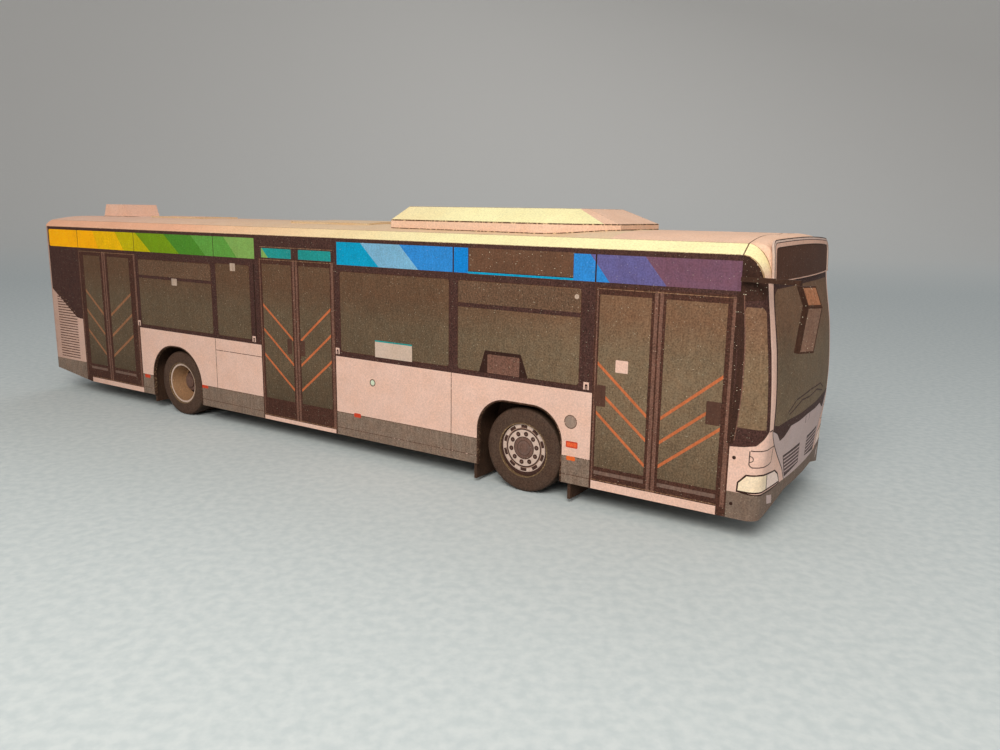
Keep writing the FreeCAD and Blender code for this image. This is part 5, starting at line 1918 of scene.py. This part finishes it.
def rim_sheet(axle_x, y, count=64):
    """The printed disc of a front wheel, flat on the wheel's face."""
    def spot(ink, radius):
        return (ink, disc(0, PRINT_RISE, radius, count))

    openings = 10
    prints = [spot("rim", 3.1), spot("rim dark", 3.02)]
    prints += [("rim", sector(2.4, 3.0, 360 / openings * k, 9.5)) for k in range(openings)]
    prints += [spot(*mark) for mark in (
        ("rim shade", 2.62), ("rim dark", 2.52), ("rim", 2.34), ("rim dark", 1.48), ("hub", 1.38),
        ("rim dark", 0.98), ("hub light", 0.92), ("hub", 0.6),
    )]
    sheet = cut_sheet(disc(0, 0, 3.36, count), [], prints, [], "rim dark")
    return card_solid(sheet, upright_place(axle_x, y, AXLE_Z, -1), 0.3, "inside", "edge")


class BuildWheels(bpy.types.Operator):
    """Rolls the tyres and prints the rims of both wheelsets"""

    bl_idname = "card_bus.wheels"
    bl_label = "Wheels"

    def execute(self, context):
        mix_up(context)
        for label in ("right", "left"):
            self.front_wheel(label)
            self.rear_wheel(label)
        return {"FINISHED"}

    def wheel_piece(self, name, label, parts, smooth_angle, body, slot, node):
        """A door-side wheel piece, or its copy on the driver's side."""
        if label == "left":
            parts = [mirror_part(part) for part in parts]
        dress(join_parts(f"{name}_{label}", parts, smooth_angle), body, slot, f"{node}_{label}")

    def front_wheel(self, label):
        """A single tyre with its flat printed rim."""
        low, high = node_box("tyre_front_right")
        tyre = lathe(tyre_profile(low.y, high.y), TYRE_INKS, FRONT_AXLE_X)
        self.wheel_piece("front_tyre_card", label, [tyre], 40, "front_wheelset", "tyre_card", "tyre_front")
        face_y, back_y = low.y + 0.25, high.y - 0.3
        core = lathe([
            (0.0, face_y + 0.3), (RIM_RADIUS, face_y + 0.3), (RIM_RADIUS, back_y), (STICK_BORE, back_y),
            (STICK_BORE, back_y - 1.2), (0.0, back_y - 1.2),
        ], ["inside", "edge"] + ["inside"] * 4, FRONT_AXLE_X)
        parts = [rim_sheet(FRONT_AXLE_X, face_y), core]
        self.wheel_piece("front_rim_card", label, parts, 30, "front_wheelset", "rim_print", "rim_front")
        side = -1 if label == "right" else 1
        self.marks(f"front_nuts_{label}", side, face_y - 0.006, 0.31, "rim dark")
        self.marks(f"front_nut_tips_{label}", side, face_y - 0.018, 0.11, "hub")

    def marks(self, name, side, y, width, ink):
        """A ring of printed marks on a wheel's face."""
        flip = Matrix.Scale(-side, 4, (0, 1, 0))
        base = Matrix.Translation((FRONT_AXLE_X * MM, y * MM, (AXLE_Z + PRINT_RISE) * MM))
        obj = grown(name, "Ring of marks", flip @ base @ Matrix.Rotation(math.pi / 2, 4, "X"), {
            "Count": 10, "Turn": math.radians(9), "Ring radius": 1.87 * MM, "Mark width": width * MM,
            "Mark length": width * MM, "Ink": INKS[ink],
        })
        dress(obj, "front_wheelset", "rim_print")

    def rear_wheel(self, label):
        """Twin tyres with a deep dished centre and a dark hub."""
        low, high = node_box("tyre_rear_outer_right")
        tyre = lathe(tyre_profile(low.y, high.y), TYRE_INKS, REAR_AXLE_X)
        self.wheel_piece("rear_tyre_card", label, [tyre], 40, "rear_wheelset", "tyre_card", "tyre_rear_outer")
        twin_low, twin_high = node_box("tyre_rear_inner_right")
        start = low.y + 3.6
        twin = lathe([
            (STICK_BORE, twin_low.y), (2.9, twin_low.y), (2.9, start), (5.2, start), (5.4, start + 0.12),
            (WHEEL_RADIUS, start + 0.4), (WHEEL_RADIUS, twin_high.y - 0.3), (5.36, twin_high.y),
            (STICK_BORE, twin_high.y),
        ], ["tube"] * 2 + ["tyre"] * 2 + ["tread"] * 3 + ["tyre", "tube"], REAR_AXLE_X)
        self.wheel_piece("rear_twin_card", label, [twin], 40, "rear_wheelset", "tyre_card", "tyre_rear_inner")
        floor_y, lip_y = low.y + 2.5, low.y + 0.2
        dish = lathe([
            (0.0, floor_y - 1.1), (0.75, floor_y - 1.08), (0.95, floor_y - 0.98), (0.95, floor_y - 0.75),
            (1.45, floor_y - 0.7), (1.5, floor_y - 0.6), (1.5, floor_y), (2.1, floor_y),
            (2.35, floor_y - 0.12),
            (2.95, lip_y + 0.35), (3.05, lip_y), (3.36, lip_y), (RIM_RADIUS, floor_y + 0.4),
            (STICK_BORE, floor_y + 0.4), (STICK_BORE, floor_y), (0.0, floor_y),
        ], ["hub"] * 6 + ["rim dark"] + ["dish"] * 3 + ["rim", "edge"] + ["inside"] * 4, REAR_AXLE_X)
        self.wheel_piece("rear_dish_card", label, [dish], 30, "rear_wheelset", "rim_print", "dish_rear")


class BuildUnderside(bpy.types.Operator):
    """Finishes the solids that stay plain: the floor, the wheel wells, the axles and their tubes"""

    bl_idname = "card_bus.underside"
    bl_label = "Underside"

    def execute(self, context):
        mix_up(context)
        finishes = {"floor_panel": "floor"}
        for place in ("front", "rear"):
            finishes[f"axle_{place}"] = "stick"
            finishes[f"axle_tube_{place}"] = "tube"
            for side in ("right", "left"):
                finishes[f"arch_liner_{place}_{side}"] = "well"
        for node, ink in finishes.items():
            materials = frame["nodes"][node].data.materials
            materials.clear()
            materials.append(INKS[ink])
        return {"FINISHED"}


# Stage

def camera_matrix():
    """The camera's place and turn, from the photograph's viewing angle."""
    azimuth, elevation, roll = (math.radians(v) for v in (32.916, 11.282, 0.880))
    flat = math.cos(elevation)
    back = Vector((math.sin(azimuth) * flat, -math.cos(azimuth) * flat, math.sin(elevation)))
    level = Vector((0, 0, 1)).cross(back).normalized()
    over = back.cross(level)
    right = level * math.cos(roll) + over * math.sin(roll)
    up = over * math.cos(roll) - level * math.sin(roll)
    place = Vector((51.72 + FRONT_AXLE_X, -99.45, 35.05)) * MM
    return Matrix([*zip(right, up, back, place), (0, 0, 0, 1)])


def stage_material():
    """Pale matt paper for the floor and the backdrop, warmer in the distance."""
    material, tree, shader, vector = fresh_material("Pale floor", shade("#C9D2D4"), 0.85)
    cloud = map_range(tree, noise_node(tree, vector, 900.0, 3.0), 0.35, 0.65)
    near = mix_colour(tree, cloud, shade("#C3CDD0"), shade("#CFD7D9"))
    far = along_axis(tree, vector, "Y", 0.25, 0.9)
    fill(tree, shader["Base Color"], mix_colour(tree, far, near, shade("#F4F3F0")))
    return material


def soft_light(name, place, target, width, height, power, colour):
    """A large soft light aimed at a point."""
    data = bpy.data.lights.new(name, "AREA")
    data.shape = "RECTANGLE"
    data.size = width
    data.size_y = height
    data.energy = power
    data.color = colour
    obj = in_scene(name, data)
    obj.location = place
    aim = Vector(target) - Vector(place)
    obj.rotation_euler = aim.to_track_quat("-Z", "Y").to_euler()
    obj.visible_camera = False


def build_backdrop():
    """A floor that sweeps up into a wall behind the bus."""
    turns = [math.pi / 2 * k / 24 for k in range(25)]
    profile = [(-1.2, 0.0)]
    profile += [(0.55 + 0.35 * math.sin(a), 0.35 * (1 - math.cos(a))) for a in turns]
    profile.append((0.9, 1.4))
    points = [(x, y, z) for y, z in profile for x in (-2.4, 2.4)]
    mesh = bpy.data.meshes.new("Backdrop")
    mesh.from_pydata(points, [], [(k, k + 1, k + 3, k + 2) for k in range(0, len(points) - 2, 2)])
    mesh.materials.append(stage_material())
    mesh.polygons.foreach_set("use_smooth", np.full(len(mesh.polygons), True))
    backdrop = in_scene("Backdrop", mesh)
    backdrop.rotation_euler = (0, 0, math.radians(32.9))


class BuildStage(bpy.types.Operator):
    """Sets the pale floor, the soft lights and the camera"""

    bl_idname = "card_bus.stage"
    bl_label = "Stage"

    def execute(self, context):
        settings = context.scene.card_bus
        scene = context.scene
        build_backdrop()
        power = settings.key_power
        warm = (1.0, 0.95, 0.87)
        soft_light("Main light", (0.1, -0.19, 0.165), (0.02, 0.0, 0.015), 0.16, 0.12, power, warm)
        soft_light("Front fill", (0.75, -0.10, 0.30), (0.03, 0.0, 0.015), 0.5, 0.4, 0.35, (0.93, 0.95, 1.0))
        soft_light("Back light", (-0.2, 0.6, 0.6), (0.0, 0.0, 0.02), 0.6, 0.4, 0.9, (1.0, 1.0, 1.0))
        world = bpy.data.worlds.new("Studio")
        world.use_nodes = True
        sky = world.node_tree.nodes["Background"].inputs
        sky["Color"].default_value = (1.0, 0.97, 0.95, 1)
        sky["Strength"].default_value = 0.32
        scene.world = world
        scene.view_settings.view_transform = "Standard"
        data = bpy.data.cameras.new("Camera")
        data.sensor_width = 36.0
        data.lens = settings.lens
        data.clip_start = 0.005
        data.clip_end = 20.0
        scene.camera = in_scene("Camera", data)
        scene.camera.matrix_world = camera_matrix()
        return {"FINISHED"}


class CardBusPanel(bpy.types.Panel):
    """Lists the settings and the pieces"""

    bl_idname = "VIEW3D_PT_card_bus"
    bl_label = "Card bus"
    bl_space_type = "VIEW_3D"
    bl_region_type = "UI"
    bl_category = "Card bus"

    def draw(self, context):
        settings = context.scene.card_bus
        for name in settings.bl_rna.properties.keys():
            if name not in ("rna_type", "name"):
                self.layout.prop(settings, name)
        for operator in OPERATORS:
            self.layout.operator(operator.bl_idname)


OPERATORS = (
    BuildSides, BuildRoof, BuildRear, BuildFront, BuildDome, BuildMirrors, BuildWheels, BuildUnderside,
    BuildStage,
)
CLASSES = (CardBusSettings, *OPERATORS, CardBusPanel)


def register():
    """Adds the classes and the settings to Blender."""
    for each in CLASSES:
        bpy.utils.register_class(each)
    bpy.types.Scene.card_bus = bpy.props.PointerProperty(type=CardBusSettings)


def unregister():
    """Takes them out again."""
    del bpy.types.Scene.card_bus
    for each in reversed(CLASSES):
        bpy.utils.unregister_class(each)


def main():
    """Builds every piece, then the stage."""
    register()
    for operator in OPERATORS:
        getattr(bpy.ops.card_bus, operator.bl_idname.split(".")[1])()


if __name__ == "__main__":
    main()
